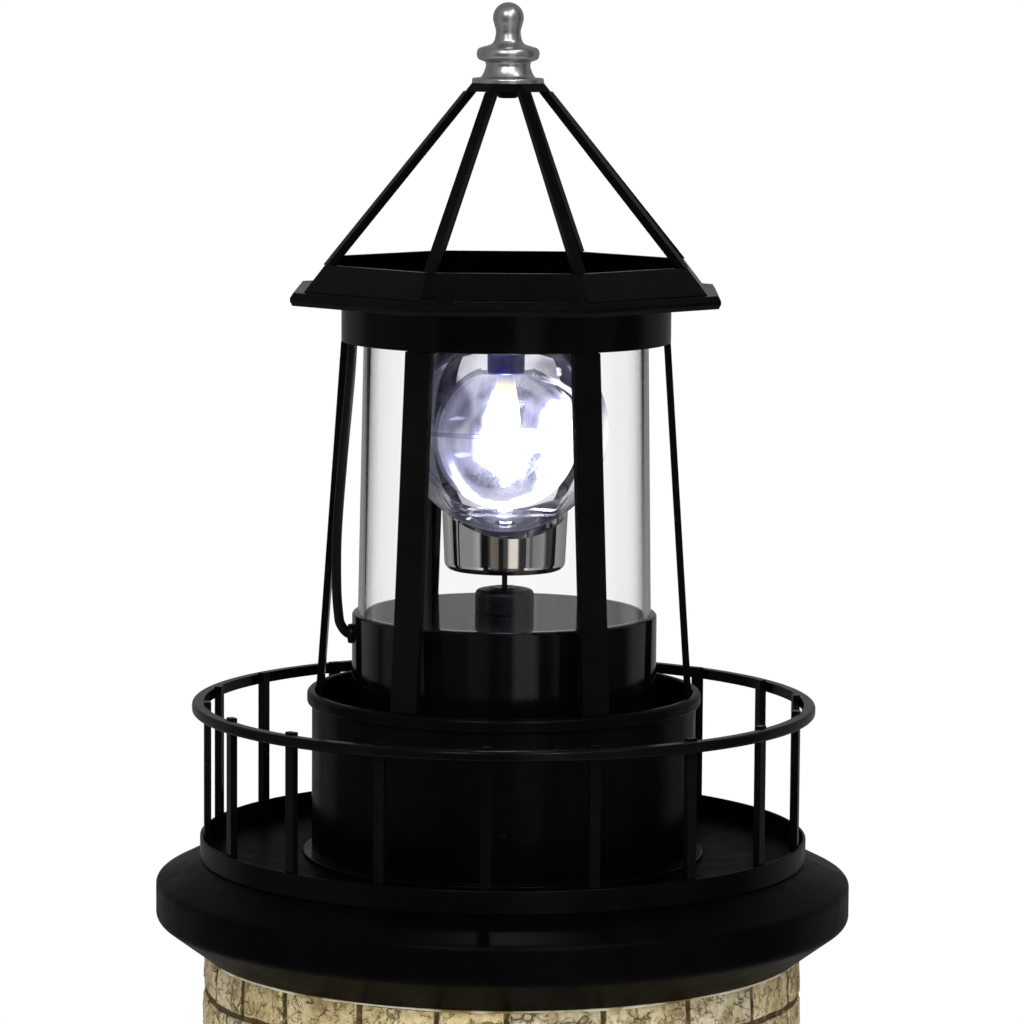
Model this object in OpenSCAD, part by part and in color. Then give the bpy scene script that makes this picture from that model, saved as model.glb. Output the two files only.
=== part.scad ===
// Garden lighthouse ornament with a solar lantern and a turning beacon.
// Millimetres. +Z is up, the origin is at the centre of the foot on the ground, and the front faces -Y.
// A bearing is an angle round the axis, counted from the front towards +X.

/* [Stone tower] */
// Height of the tower, from the ground to the underside of the gallery slab
tower_h = 641; // [560:1:720]
// Outer radius of the stonework just under the slab
tower_top_r = 86.5; // [80:0.5:92]
// Growth of the radius for each millimetre down the tower
tower_taper = 0.035; // [0.02:0.001:0.05]
// Wall thickness of the hollow casting, behind the joints
tower_wall = 7; // [5:0.5:10]
// Wanted height of one course of stones, with its joint
course_pitch = 11.75; // [10:0.25:16]
// Number of stones in one course
stones_round = 22; // [18:1:26]
// Width of the joints between stones
joint_w = 1.6; // [1:0.1:2.4]
// Depth of the joints between stones
joint_d = 1.2; // [0.8:0.1:1.8]
// Height of the plain foot under the first course
foot_h = 30; // [20:1:40]
// How far the foot stands out beyond the first course
foot_step = 8; // [4:0.5:12]

/* [Door and windows] */
// Clear width of the door
door_w = 42; // [34:1:50]
// Clear height of the door, to the crown of its arch
door_h = 82; // [70:1:96]
// Clear width of a window
window_w = 18; // [14:0.5:24]
// Clear height of a window, to the crown of its arch
window_h = 34; // [28:1:44]
// Width of the surround of the door and the windows
surround_w = 5; // [3:0.5:7]
// How far a surround stands out beyond the stones
surround_out = 1.6; // [1:0.1:2.5]
// Depth of the door and the windows behind the joints of the stones
recess_d = 1.5; // [1:0.1:3]
// Height of the sills of the two front windows
front_sill_z = [205, 405]; // [180:1:420]
// Height of the sills of the two side windows
side_sill_z = 305; // [240:1:380]

/* [Base plate] */
// Thickness of the plate that closes the tower from below
base_plate_t = 3; // [2:0.5:4]
// Depth that the plate is let in above the ground
base_plate_inset = 2.4; // [2:0.1:4]
// Width of the ledge that the plate lies on
plate_ledge = 5; // [4:0.5:7]

/* [Gallery slab] */
// Overhang of the slab beyond the top of the tower
slab_out = 14; // [10:0.5:16]
// Height of the bevel under the overhang
slab_bevel_h = 10; // [7:0.5:13]
// Height of the upright edge
slab_edge_h = 10.4; // [8:0.2:13]
// Rise of the sloping shoulder, from the edge to the tray
slab_rise = 6.3; // [4:0.1:8]
// Depth of the spigot that centres the slab in the tower
spigot_h = 8; // [5:0.5:10]

/* [Gallery tray and railing] */
// Width of the slab's shoulder outside the tray
tray_setback = 12.7; // [11:0.1:14]
// Height of the tray's upturned rim
tray_h = 6.7; // [5:0.1:9]
// Thickness of the sheet metal
sheet_t = 1; // [0.8:0.1:1.2]
// Number of posts in the railing
railing_count = 18; // [14:1:22]
// Width of a railing post, along the rail
railing_post_w = 3; // [2.4:0.1:4]
// Thickness of a railing post
railing_post_t = 2; // [1.5:0.1:2.5]
// Height of the top of the rail above the tray's floor
railing_h = 44.5; // [38:0.1:50]
// Height of the rail's section
rail_h = 3; // [2.4:0.1:4]
// Thickness of the rail's section
rail_t = 3.3; // [2.2:0.1:3.6]

/* [Lantern drum] */
// Outer radius of the drum's wall
drum_r = 55.5; // [54:0.25:58]
// Height of the drum, with its lip
drum_h = 47.8; // [42:0.1:54]
// How far the rolled lip stands out
lip_out = 1.4; // [1:0.1:2]
// Height of the rolled lip
lip_h = 4; // [3:0.1:5]
// Width of the foot flange, outside the wall
drum_flange_w = 2.6; // [2:0.1:4]
// Height of the drum's clamp screws above the tray's floor
drum_screw_z = 14.3; // [10:0.1:20]

/* [Lamp base] */
// Outer radius of the lamp base
lamp_base_r = 44; // [43:0.25:45.5]
// Height of the lamp base, from the tray's floor to its deck
lamp_base_h = 70.3; // [66:0.1:76]
// Wall thickness of the lamp base
lamp_base_t = 2; // [1.6:0.1:2.4]
// Thickness of the deck
deck_t = 3; // [2.5:0.1:4]
// Height of the bottom cover above the tray's floor
cover_rise = 3; // [2.6:0.1:5]
// Thickness of the bottom cover
cover_t = 2.5; // [2:0.1:3]
// Radius of the domed bearing cap on the deck
cap_r = 8.5; // [7.5:0.1:10]
// Height of the bearing cap
cap_h = 7.5; // [6:0.1:9]

/* [Clear tube and cage] */
// Gap between the edge of the deck and the foot of the clear tube
tube_inset = 1.7; // [1.2:0.1:2.2]
// Wall thickness of the clear tube
tube_t = 2; // [1.5:0.1:2.5]
// Draft of the clear tube: how much smaller its top radius is
tube_draft = 1.5; // [1:0.1:2]
// Gap between the foot of the clear tube and the outside of the cage band
band_out = 5; // [4.6:0.1:5.6]
// Height of the cage band, up to the eave
band_h = 14.1; // [12:0.1:17]
// Width of a cage post
cage_post_w = 8.4; // [6:0.1:9]
// Thickness of a cage post
cage_post_t = 2; // [1.6:0.1:2.2]
// Number of cage posts
cage_posts_n = 6; // [4:1:8]

/* [Beacon] */
// Outer radius of the clear globe
globe_r = 29.6; // [27:0.1:30.5]
// Wall thickness of the globe
globe_t = 3; // [2:0.1:4]
// Radius of the opening at the top of the globe
globe_hole_r = 8.5; // [8:0.1:10]
// Radius of the bright cup at its foot
cup_r = 17.3; // [15:0.1:18]
// Height of the bright cup
cup_h = 17; // [14:0.1:20]
// Wall thickness of the bright cup
cup_t = 1.3; // [1:0.1:2]
// How much wider the cup is at its rim
cup_flare = 0.8; // [0.4:0.1:1.5]
// Gap between the bearing cap and the cup, where the shaft shows
cup_gap = 5; // [3:0.1:7]
// Radius of the beacon's shaft
shaft_r = 0.8; // [0.7:0.05:1]
// Radius of the dished mirror in the globe
mirror_r = 21; // [17:0.5:22]
// Thickness of the mirror
mirror_t = 1.2; // [0.8:0.1:2]
// Bearing of the beam at rest
beam_bearing = 8; // [0:1:359]

/* [Gear train] */
// Module of the gears
gear_module = 0.7; // [0.6:0.01:0.75]
// Teeth of the two pinions
pinion_teeth = 12; // [12:1:14]
// Teeth of the wheel on the beacon's shaft
drive_teeth = 36; // [32:1:38]
// Teeth of the idler's wheel
idler_teeth = 36; // [32:1:38]
// Thickness of the gears
gear_w = 3; // [2:0.1:3.5]
// Radius of the fixed pin that the idler turns on
idler_pin_r = 1; // [0.8:0.05:1.2]
// Radius of the motor's can
motor_r = 12; // [10:0.5:13]
// Height of the motor's can
motor_h = 18; // [15:0.5:20]

/* [Switch] */
// Height of the switch knob at rest, below the top of the deck
switch_drop = 15; // [13:0.5:17]
// Travel of the switch knob
switch_travel = 4; // [3:0.5:5]
// Width of the switch knob
knob_w = 4; // [3:0.5:5]
// Height of the switch knob
knob_h = 3; // [2:0.5:4]

/* [Power] */
// Length of one battery cell
cell_l = 50.5; // [48:0.5:52]
// Radius of a battery cell
cell_r = 7.1; // [6.5:0.05:7.3]
// Side of the square solar panel
panel_side = 56; // [50:0.5:58]
// Thickness of the solar panel
panel_t = 2.2; // [1.5:0.1:3]
// Depth of the panel's face below the rim of its housing
panel_sink = 2; // [1:0.1:2.4]
// Radius of the holder that hangs the LED into the globe
led_holder_r = 5.35; // [4.5:0.05:6]
// Radius of the flame-shaped LED lamp, at its widest
led_r = 4.2; // [3.2:0.1:4.6]
// Radius of the LED lamp where it leaves its holder
led_root_r = 2.4; // [1.8:0.1:2.8]
// Length of the LED lamp below its holder
led_h = 19; // [14:0.5:21]
// Radius of the lead from the solar panel to the lamp base
lead_r = 1.4; // [1:0.05:1.45]

/* [Roof] */
// Corner radius of the eight-sided eave
eave_r = 65.7; // [63:0.1:70]
// Height of the eave's folded edge
eave_t = 3.7; // [2.6:0.1:5]
// Width of the eave outside the skirt, at a corner
eave_out = 4.1; // [3:0.1:7]
// How far the eave laps over the solar housing's collar
eave_lap = 2.2; // [1.7:0.1:3.7]
// How far the eave's folded edge swells
eave_swell = 1; // [0.4:0.1:1.6]
// Height of the sloping skirt
skirt_h = 7.6; // [5:0.1:9]
// How far the skirt leans in over its height, at a corner
skirt_in = 6.3; // [4:0.1:9]
// Height of the open part of the roof, from the skirt to the roof cap
rib_rise = 48.7; // [40:0.1:56]
// Width of a bar of the roof
rib_w = 2.9; // [2:0.1:4]
// Depth of a bar of the roof, measured level
rib_deep = 3; // [2:0.1:4]
// Radius of the roof cap under the finial
roof_cap_r = 13.1; // [12:0.1:15]
// Thickness of the roof cap
roof_cap_t = 2.3; // [1.8:0.1:3]
// Height of the finial
finial_h = 22.9; // [20:0.1:26]

/* [Hidden] */
$fn = 96;
arc_steps = 5;

// Clearances
seat_gap = 0.1; // between pieces that are fitted together and do not move
press_gap = 0.03; // between a pin and the piece that it is pressed into
run_gap = 0.06; // between a turning shaft and its bore
air_gap = 0.3; // between a moving face and a fixed one
globe_clear = 2; // between the globe and the solar housing

// How the round assemblies are turned in the photograph, counter-clockwise from above
roof_turn = -0.6;
cage_turn = -1.3;
railing_turn = -3;

// ---------------------------------------------------------------- heights, from the ground up
z_slab = tower_h;
slab_h = slab_bevel_h + slab_edge_h + slab_rise;
z_tray = z_slab + slab_h;
z_floor = z_tray + sheet_t;
z_rail = z_floor + railing_h;
z_lip = z_floor + drum_h;
z_deck = z_floor + lamp_base_h;
z_cap = z_deck + cap_h;
z_cup = z_cap + cup_gap;
z_rim = z_cup + cup_h;
cup_rim_r = cup_r + cup_flare;
z_globe = z_rim + sqrt(pow(globe_r + seat_gap, 2) - pow(cup_rim_r, 2));
z_housing = z_globe + globe_r + globe_clear;
housing_h = 7.9;
z_sheet = z_housing + housing_h;
z_eave = z_sheet + sheet_t - eave_t;
z_band = z_sheet - band_h;
z_skirt = z_sheet + sheet_t;
z_rib = z_skirt + skirt_h;
z_roof_cap = z_rib + rib_rise;
z_finial = z_roof_cap + roof_cap_t;

// ---------------------------------------------------------------- radii
slab_r = tower_top_r + slab_out;
tray_r = slab_r - tray_setback;
tray_in_r = tray_r - sheet_t;
rail_in_r = tray_in_r;
rail_r = rail_in_r + rail_t;
drum_in_r = drum_r - sheet_t;
cage_foot_h = drum_h - lip_h / 2; // the cage posts stand upright inside the drum
lamp_in_r = lamp_base_r - lamp_base_t;
tube_r = lamp_base_r - tube_inset;
tube_top_r = tube_r - tube_draft;
band_r = tube_r + band_out;
band_in_r = band_r - sheet_t;
collar_r = band_in_r - seat_gap;
globe_in_r = globe_r - globe_t;
// A flat bar inside a round wall touches it with its two edges
function flat_in_round(r, w) = sqrt(r * r - w * w / 4) - seat_gap / 2;
post_foot_r = flat_in_round(drum_in_r, cage_post_w);
post_head_r = flat_in_round(band_in_r, cage_post_w);
railing_post_r = flat_in_round(tray_in_r, railing_post_w);
lead_lane = 2 * lead_r + 2 * air_gap;
housing_r = band_in_r - lead_lane;
skirt_r = eave_r - eave_out;
eave_hole_r = collar_r - eave_lap;
skirt_top_r = skirt_r - skirt_in;

// ---------------------------------------------------------------- helpers
// Puts a child made on the +X axis on a bearing
module at(bearing, r = 0, z = 0) {
    rotate([0, 0, bearing - 90]) translate([r, 0, z]) children();
}

// The same child on each of n bearings
module round_about(n, start = 0) {
    for (i = [0:n - 1]) rotate([0, 0, start + i * 360 / n]) children();
}

function unit(v) = v / norm(v);

full_turn = 360;
// One corner of an outline, rounded to radius r
function corner(a, b, c, r) = r <= 0 ? [b] :
    let (u = unit(a - b), v = unit(c - b), half = acos(u * v) / 2,
        centre = b + unit(u + v) * r / sin(half),
        p = b + u * r / tan(half) - centre, q = b + v * r / tan(half) - centre,
        start = atan2(p[1], p[0]),
        turn = (atan2(q[1], q[0]) - start + 1.5 * full_turn) % full_turn - full_turn / 2)
    [for (i = [0:arc_steps])
        centre + r * [cos(start + turn * i / arc_steps), sin(start + turn * i / arc_steps)]];

// An outline given as [x, y, corner radius] points
function soft(points) = let (n = len(points), p = [for (q = points) [q[0], q[1]]])
    [for (i = [0:n - 1]) each corner(p[(i + n - 1) % n], p[i], p[(i + 1) % n], points[i][2])];

// A solid of revolution from [radius, height, corner radius] points
module turned(points) {
    rotate_extrude() polygon(soft(points));
}

// A ring with a square section
module ring(r_in, r_out, h) {
    difference() {
        cylinder(r = r_out, h = h);
        translate([0, 0, -1]) cylinder(r = r_in, h = h + 2);
    }
}

// A pan-head screw: its head above z = 0 and its shank below
module pan_screw(head_r, head_h, shank_r, shank_h) {
    translate([0, 0, -shank_h]) turned([[0, 0, 0], [shank_r * 0.6, 0, 0], [shank_r, shank_r, 0],
        [shank_r, shank_h, 0], [head_r, shank_h, 0], [head_r, shank_h + head_h, head_h * 0.6],
        [0, shank_h + head_h, 0]]);
}

// An arched outline: square at the foot, round at the crown
module arch(w, h) {
    translate([-w / 2, 0]) square([w, h - w / 2]);
    translate([0, h - w / 2]) circle(d = w);
}

// ---------------------------------------------------------------- stone tower
course_count = round((tower_h - foot_h) / course_pitch);
course_h = (tower_h - foot_h) / course_count;
function tower_r(z) = tower_top_r + (tower_h - z) * tower_taper;
core_gap = 0.2; // the core lies this far behind the bottom of the upright joints
core_in = joint_d + core_gap;
foot_r = tower_r(foot_h) + foot_step;
foot_slope_h = 7;
function hollow_r(z) = tower_r(z) - core_in - tower_wall;
top_t = 12;
top_hole_r = 24;
spigot_r = top_hole_r - seat_gap;
z_base_plate = base_plate_inset + base_plate_t;
base_plate_r = hollow_r(z_base_plate) + plate_ledge;
base_screws_n = 4;
base_boss_r = 6;
base_boss_h = 22;
base_screw_ring = hollow_r(0) - base_boss_r + 1;
base_shank_r = 1.7;
base_head_r = 3.4;
base_head_h = 2;
base_boss_floor = 4; // of a boss, beyond its blind hole
base_bite = 12; // of the screws' shanks, into the bosses
slab_screws_n = 4;
slab_screw_ring = 34;
slab_shank_r = 2;
slab_head_r = 3.8;
slab_head_h = 2.2;
slab_shank_h = slab_h + sheet_t + top_t - 3;

// One course seen from above: flat stones with a V joint between them
function course_outline(r) = let (pitch = 360 / stones_round, half_joint = asin(joint_w / 2 / r))
    [for (i = [0:stones_round - 1]) let (a = i * pitch) each [
        (r - joint_d) * [cos(a), sin(a)],
        r * [cos(a + half_joint), sin(a + half_joint)],
        r * [cos(a + pitch - half_joint), sin(a + pitch - half_joint)]]];

module courses() {
    for (i = [0:course_count - 1]) {
        z = foot_h + i * course_h;
        rotate([0, 0, (i % 2) * 180 / stones_round]) translate([0, 0, z + joint_w / 2])
            linear_extrude(course_h - joint_w) polygon(course_outline(tower_r(z + course_h / 2)));
    }
}

// The raised surround of a door or a window, and the recess in it
module surround(bearing, z, w, h) {
    at(bearing, 0, z) rotate([90, 0, 90]) linear_extrude(tower_r(z) + surround_out)
        translate([0, -surround_w]) arch(w + 2 * surround_w, h + 2 * surround_w);
}
module recess(bearing, z, w, h) {
    at(bearing, tower_r(z) - core_in - recess_d, z) rotate([90, 0, 90])
        linear_extrude(core_in + recess_d + surround_out + 1) arch(w, h);
}

module tower_openings(kind) {
    module one(bearing, z, w, h) {
        if (kind == "surround") surround(bearing, z, w, h);
        if (kind == "recess") recess(bearing, z, w, h);
    }
    one(0, foot_h + surround_w, door_w, door_h);
    for (z = front_sill_z) one(0, z, window_w, window_h);
    for (side = [-90, 90]) one(side, side_sill_z, window_w, window_h);
}

module tower() color("#cfc6ae") difference() {
    union() {
        turned([[0, 0, 0], [foot_r, 0, 1.5], [foot_r, foot_h - foot_slope_h, 2],
            [tower_r(foot_h) - core_in, foot_h, 0], [tower_top_r - core_in, tower_h, 0], [0, tower_h, 0]]);
        courses();
        tower_openings("surround");
    }
    tower_openings("recess");
    difference() {
        turned([[0, -1, 0], [hollow_r(-1), -1, 0], [hollow_r(tower_h - top_t), tower_h - top_t, 0],
            [0, tower_h - top_t, 0]]);
        round_about(base_screws_n, 45) translate([base_screw_ring, 0, z_base_plate])
            cylinder(r = base_boss_r, h = base_boss_h);
    }
    translate([0, 0, -1]) cylinder(r = base_plate_r + seat_gap, h = z_base_plate + 1);
    round_about(base_screws_n, 45) translate([base_screw_ring, 0, 0])
        cylinder(r = base_shank_r + press_gap, h = z_base_plate + base_boss_h - base_boss_floor);
    cylinder(r = top_hole_r, h = tower_h + 1);
    round_about(slab_screws_n, 45) translate([slab_screw_ring, 0, tower_h - top_t + 1])
        cylinder(r = slab_shank_r + press_gap, h = top_t);
}

module base_plate() color("#4a4a48") difference() {
    translate([0, 0, base_plate_inset]) cylinder(r = base_plate_r, h = base_plate_t - seat_gap);
    round_about(base_screws_n, 45) translate([base_screw_ring, 0, 0])
        cylinder(r = base_shank_r + air_gap, h = z_base_plate + 1);
}

module base_plate_screws() color("#9a9a98")
    round_about(base_screws_n, 45) translate([base_screw_ring, 0, base_plate_inset])
        rotate([180, 0, 0]) pan_screw(base_head_r, base_head_h, base_shank_r, base_plate_t + base_bite);

// ---------------------------------------------------------------- gallery
module gallery_slab() color("#262524") difference() {
    union() {
        translate([0, 0, z_slab]) turned([[0, 0, 0], [tower_top_r + 0.5, 0, 0],
            [slab_r, slab_bevel_h, 2.5], [slab_r, slab_bevel_h + slab_edge_h, 2],
            [tray_r, slab_h, 0], [0, slab_h, 0]]);
        translate([0, 0, z_slab - spigot_h]) cylinder(r = spigot_r, h = spigot_h + 1);
    }
    round_about(slab_screws_n, 45) translate([slab_screw_ring, 0, z_slab - 1])
        cylinder(r = slab_shank_r + air_gap, h = slab_h + 2);
}

module gallery_tray() color("#1b1b1c") difference() {
    translate([0, 0, z_tray]) cylinder(r = tray_in_r - seat_gap, h = sheet_t);
    round_about(slab_screws_n, 45) translate([slab_screw_ring, 0, z_tray - 1])
        cylinder(r = slab_shank_r + air_gap, h = sheet_t + 2);
}

// The upturned rim of the tray, bent from a strip and welded round its floor
module toe_board() color("#1b1b1c") translate([0, 0, z_tray + seat_gap / 2])
    turned([[tray_in_r, 0, 0], [tray_r, 0, 0.4], [tray_r, tray_h, sheet_t * 0.45],
        [tray_in_r, tray_h, sheet_t * 0.45]]);

module slab_screws() color("#9a9a98")
    round_about(slab_screws_n, 45) translate([slab_screw_ring, 0, z_floor])
        pan_screw(slab_head_r, slab_head_h, slab_shank_r, slab_shank_h);

module railing_posts() color("#1b1b1c")
    for (i = [0:railing_count - 1]) at(railing_turn + i * 360 / railing_count, 0, z_floor + seat_gap / 2)
        translate([railing_post_r - railing_post_t, -railing_post_w / 2, 0])
            cube([railing_post_t, railing_post_w, railing_h + 0.5]);

module railing_rail() color("#1b1b1c") {
    edge = min(rail_h, rail_t) * 0.3;
    translate([0, 0, z_rail]) turned([[rail_in_r, 0, 0], [rail_in_r, -rail_h, 0],
        [rail_r, -rail_h, edge], [rail_r, 0, edge]]);
}

// ---------------------------------------------------------------- lantern drum and cage
drum_screws_n = 3;
drum_head_r = 1.5;
drum_head_h = 0.8;
drum_shank_r = 1;
drum_nut_r = 2.6;
drum_nut_h = 2.4;
module drum_screw_spots() {
    for (i = [0:drum_screws_n - 1]) at(i * 360 / drum_screws_n, 0, z_floor + drum_screw_z) children();
}

module lantern_drum() color("#161617") difference() {
    union() {
        translate([0, 0, z_floor + seat_gap / 2]) {
            turned([[drum_in_r, 0, 0], [drum_r + drum_flange_w, 0, 0],
                [drum_r + drum_flange_w, sheet_t, sheet_t * 0.4], [drum_r, sheet_t, 0],
                [drum_r, drum_h - lip_h, 0], [drum_r + lip_out, drum_h - lip_h, lip_out * 0.7],
                [drum_r + lip_out, drum_h, lip_out * 0.9], [drum_in_r, drum_h, sheet_t * 0.6]]);
        }
        drum_screw_spots() translate([drum_in_r - drum_nut_h, 0, 0]) rotate([0, 90, 0])
            cylinder(r = drum_nut_r, h = drum_nut_h + sheet_t / 2, $fn = 6);
    }
    drum_screw_spots() translate([drum_in_r - drum_nut_h - 1, 0, 0]) rotate([0, 90, 0])
        cylinder(r = drum_shank_r + press_gap, h = 10);
}

module drum_screws() color("#9a9a98")
    drum_screw_spots() translate([drum_r + seat_gap / 2, 0, 0]) rotate([0, 90, 0])
        pan_screw(drum_head_r, drum_head_h, drum_shank_r, drum_r - lamp_base_r - seat_gap);

// A post is upright where it is welded inside the drum, leans in up to the band,
// and is halved at its head to stand inside the band
function lean(z) = post_foot_r + (band_r - post_foot_r) * (z - z_floor - cage_foot_h)
    / (z_band - z_floor - cage_foot_h);
z_head = z_sheet - seat_gap - 1.5;
module cage_posts() color("#161617") {
    z0 = z_floor + seat_gap / 2;
    z1 = z_floor + cage_foot_h;
    z2 = z_band - seat_gap;
    outer = band_r - seat_gap;
    for (i = [0:cage_posts_n - 1])
        at(cage_turn + 180 / cage_posts_n + i * 360 / cage_posts_n)
            rotate([90, 0, 0]) translate([0, 0, -cage_post_w / 2]) linear_extrude(cage_post_w)
                polygon([[post_foot_r - cage_post_t, z0], [post_foot_r, z0], [post_foot_r, z1],
                    [outer, z2], [post_head_r, z2], [post_head_r, z_head - seat_gap],
                    [outer - cage_post_t, z_head - seat_gap], [outer - cage_post_t, z2],
                    [post_foot_r - cage_post_t, z1]]);
}

module cage_band() color("#161617") translate([0, 0, z_band])
    turned([[band_in_r, 0, 0], [band_r, 0, 0.3], [band_r, band_h - 3.2, 0], [band_r + 0.5, band_h - 2.6, 0],
        [band_r, band_h - 2, 0], [band_r, band_h - seat_gap, 0], [band_in_r, band_h - seat_gap, 0]]);

// ---------------------------------------------------------------- roof
sides = 8;
half_side = 180 / sides;
module octagon(r) {
    rotate([0, 0, half_side]) circle(r = r, $fn = sides);
}

// An eight-sided frustum between two corner radii
module frustum(r0, r1, h) {
    rotate([0, 0, half_side]) cylinder(r1 = r0, r2 = r1, h = h, $fn = sides);
}

module eave_plate() color("#161617") rotate([0, 0, roof_turn]) difference() {
    swell_z = [0, eave_t * 0.35, eave_t * 0.6, eave_t];
    translate([0, 0, z_eave]) union() {
        frustum(eave_r - eave_swell * 0.7, eave_r, swell_z[1]);
        translate([0, 0, swell_z[1]]) frustum(eave_r, eave_r, swell_z[2] - swell_z[1]);
        translate([0, 0, swell_z[2]]) frustum(eave_r, eave_r - eave_swell, swell_z[3] - swell_z[2]);
    }
    translate([0, 0, z_eave - 1]) linear_extrude(eave_t - sheet_t + 1)
        octagon(eave_r - eave_swell - sheet_t / cos(half_side));
    translate([0, 0, z_eave]) cylinder(r = eave_hole_r, h = eave_t + 1);
}

skirt_lean = skirt_in / skirt_h;
module roof_skirt() color("#161617") rotate([0, 0, roof_turn]) difference() {
    translate([0, 0, z_skirt + seat_gap]) frustum(skirt_r - skirt_lean * seat_gap, skirt_top_r, skirt_h - seat_gap);
    translate([0, 0, z_skirt + seat_gap - 1])
        frustum(skirt_r - 2 * sheet_t + skirt_lean, skirt_top_r - 2 * sheet_t - skirt_lean, skirt_h + 2 - seat_gap);
}

// Straight bars on the corners, welded between the skirt and the cap
rib_lean = (skirt_top_r - roof_cap_r) / rib_rise;
module roof_ribs() color("#161617") {
    foot = skirt_top_r - rib_lean * seat_gap;
    head = roof_cap_r + rib_lean * seat_gap;
    for (i = [0:sides - 1]) at(roof_turn + half_side + i * 360 / sides) rotate([90, 0, 0])
        translate([0, 0, -rib_w / 2]) linear_extrude(rib_w)
            polygon([[foot - rib_deep, z_rib + seat_gap], [foot, z_rib + seat_gap],
                [head, z_roof_cap - seat_gap], [head - rib_deep, z_roof_cap - seat_gap]]);
}

finial_shank_r = 1.5;
module roof_cap() color("#161617") difference() {
    rotate([0, 0, roof_turn]) translate([0, 0, z_roof_cap])
        frustum(roof_cap_r, roof_cap_r - rib_lean * roof_cap_t, roof_cap_t);
    translate([0, 0, z_roof_cap - 1]) cylinder(r = finial_shank_r + air_gap, h = roof_cap_t + 2);
}

module finial_screw() color("#9a9a98") translate([0, 0, z_roof_cap]) rotate([180, 0, 0])
    pan_screw(3.2, 2, finial_shank_r, roof_cap_t + 6);

// Heights on the finial are taken up from its seat, and scale with its height alone
function finial_z(share) = finial_h * share;
module finial() color("#c9c9cb") difference() {
    translate([0, 0, z_finial + seat_gap / 2]) rotate_extrude() polygon(concat(
        soft([[0, 0, 0], [10.3, 0, 0.3], [10.3, finial_z(0.06), 0.6], [7.7, finial_z(0.07), 0.5],
            [6.9, finial_z(0.13), 0.6], [6.3, finial_z(0.21), 0.4], [6.5, finial_z(0.26), 0.4],
            [8.6, finial_z(0.29), 0.8], [9.1, finial_z(0.36), 0.8], [8.6, finial_z(0.43), 0.8],
            [4.6, finial_z(0.48), 0.8], [3.9, finial_z(0.53), 0.4], [3.5, finial_z(0.62), 0.6],
            [3.6, finial_z(0.66), 0]]),
        [for (i = [0:8]) let (a = -28 + i * 118 / 8) [4.4 * cos(a), finial_h - 4.4 + 4.4 * sin(a)]]));
    translate([0, 0, z_finial - 1]) cylinder(r = finial_shank_r + press_gap, h = 8);
}

// ---------------------------------------------------------------- solar unit and light
z_collar = z_head;
panel_floor_z = z_sheet - seat_gap - panel_sink - panel_t;
led_hole_r = led_holder_r + seat_gap;
z_holder = z_globe + sqrt(pow(globe_r, 2) - pow(globe_hole_r, 2)) - 12.5;
tube_foot_z = z_deck + seat_gap / 2;
tube_head_z = z_housing - seat_gap;
locator_h = 3;
lead_bearing = -78;
lead_run_r = band_in_r - air_gap - lead_r - seat_gap;

module solar_housing() color("#1d1d1f") difference() {
    union() {
        translate([0, 0, z_housing]) turned([[0, 0, 0], [housing_r, 0, 0.8],
            [housing_r, z_collar - z_housing, 0], [collar_r, z_collar - z_housing, 0],
            [collar_r, housing_h - seat_gap, 0.3], [0, housing_h - seat_gap, 0]]);
        translate([0, 0, z_housing - locator_h])
            ring(tube_top_r - tube_t - seat_gap - 2, tube_top_r - tube_t - seat_gap, locator_h + 0.5);
    }
    translate([-panel_side / 2 - seat_gap, -panel_side / 2 - seat_gap, panel_floor_z - seat_gap])
        cube([panel_side + 2 * seat_gap, panel_side + 2 * seat_gap, panel_t + panel_sink + 2]);
    translate([0, 0, z_housing - 1]) cylinder(r = led_hole_r, h = 3.5);
    at(lead_bearing, lead_run_r, z_collar - 1) cylinder(r = lead_r + seat_gap, h = 5, $fn = 24);
}

module solar_panel() color("#1a2340")
    translate([-panel_side / 2, -panel_side / 2, panel_floor_z]) cube([panel_side, panel_side, panel_t]);

module led_holder() color("#1d1d1f") difference() {
    union() {
        translate([0, 0, z_holder]) turned([[0, 0, 0], [led_holder_r, 0, 0.5],
            [led_holder_r, z_housing + 2.4 - z_holder, 0], [0, z_housing + 2.4 - z_holder, 0]]);
        translate([0, 0, z_housing - 1.3]) cylinder(r = led_holder_r + 2, h = 1.2);
    }
    translate([0, 0, z_holder - 1]) cylinder(r = led_root_r + seat_gap, h = 4);
}

module led_lamp() color("#e8efff") translate([0, 0, z_holder - led_h])
    turned([[0, 0, 0], [led_r * 0.75, 0, 2.4], [led_r, led_h * 0.28, 4], [led_r * 0.8, led_h * 0.62, 6],
        [led_root_r, led_h, 2], [led_root_r, led_h + 2.5, 0.2], [0, led_h + 2.5, 0]]);

module clear_tube() color("#dfe8ee", 0.4) {
    rotate_extrude() polygon([[tube_r - tube_t, tube_foot_z], [tube_r, tube_foot_z],
        [tube_top_r, tube_head_z], [tube_top_r - tube_t, tube_head_z]]);
}

// ---------------------------------------------------------------- gear train
pressure = 25;
backlash = 0.12;
function pitch_r(n) = n * gear_module / 2;
function tip_r(n) = pitch_r(n) + gear_module;
function root_r(n) = pitch_r(n) - 1.25 * gear_module;
function base_r(n) = pitch_r(n) * cos(pressure);
function inv(a) = tan(a) * 180 / PI - a;
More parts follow.
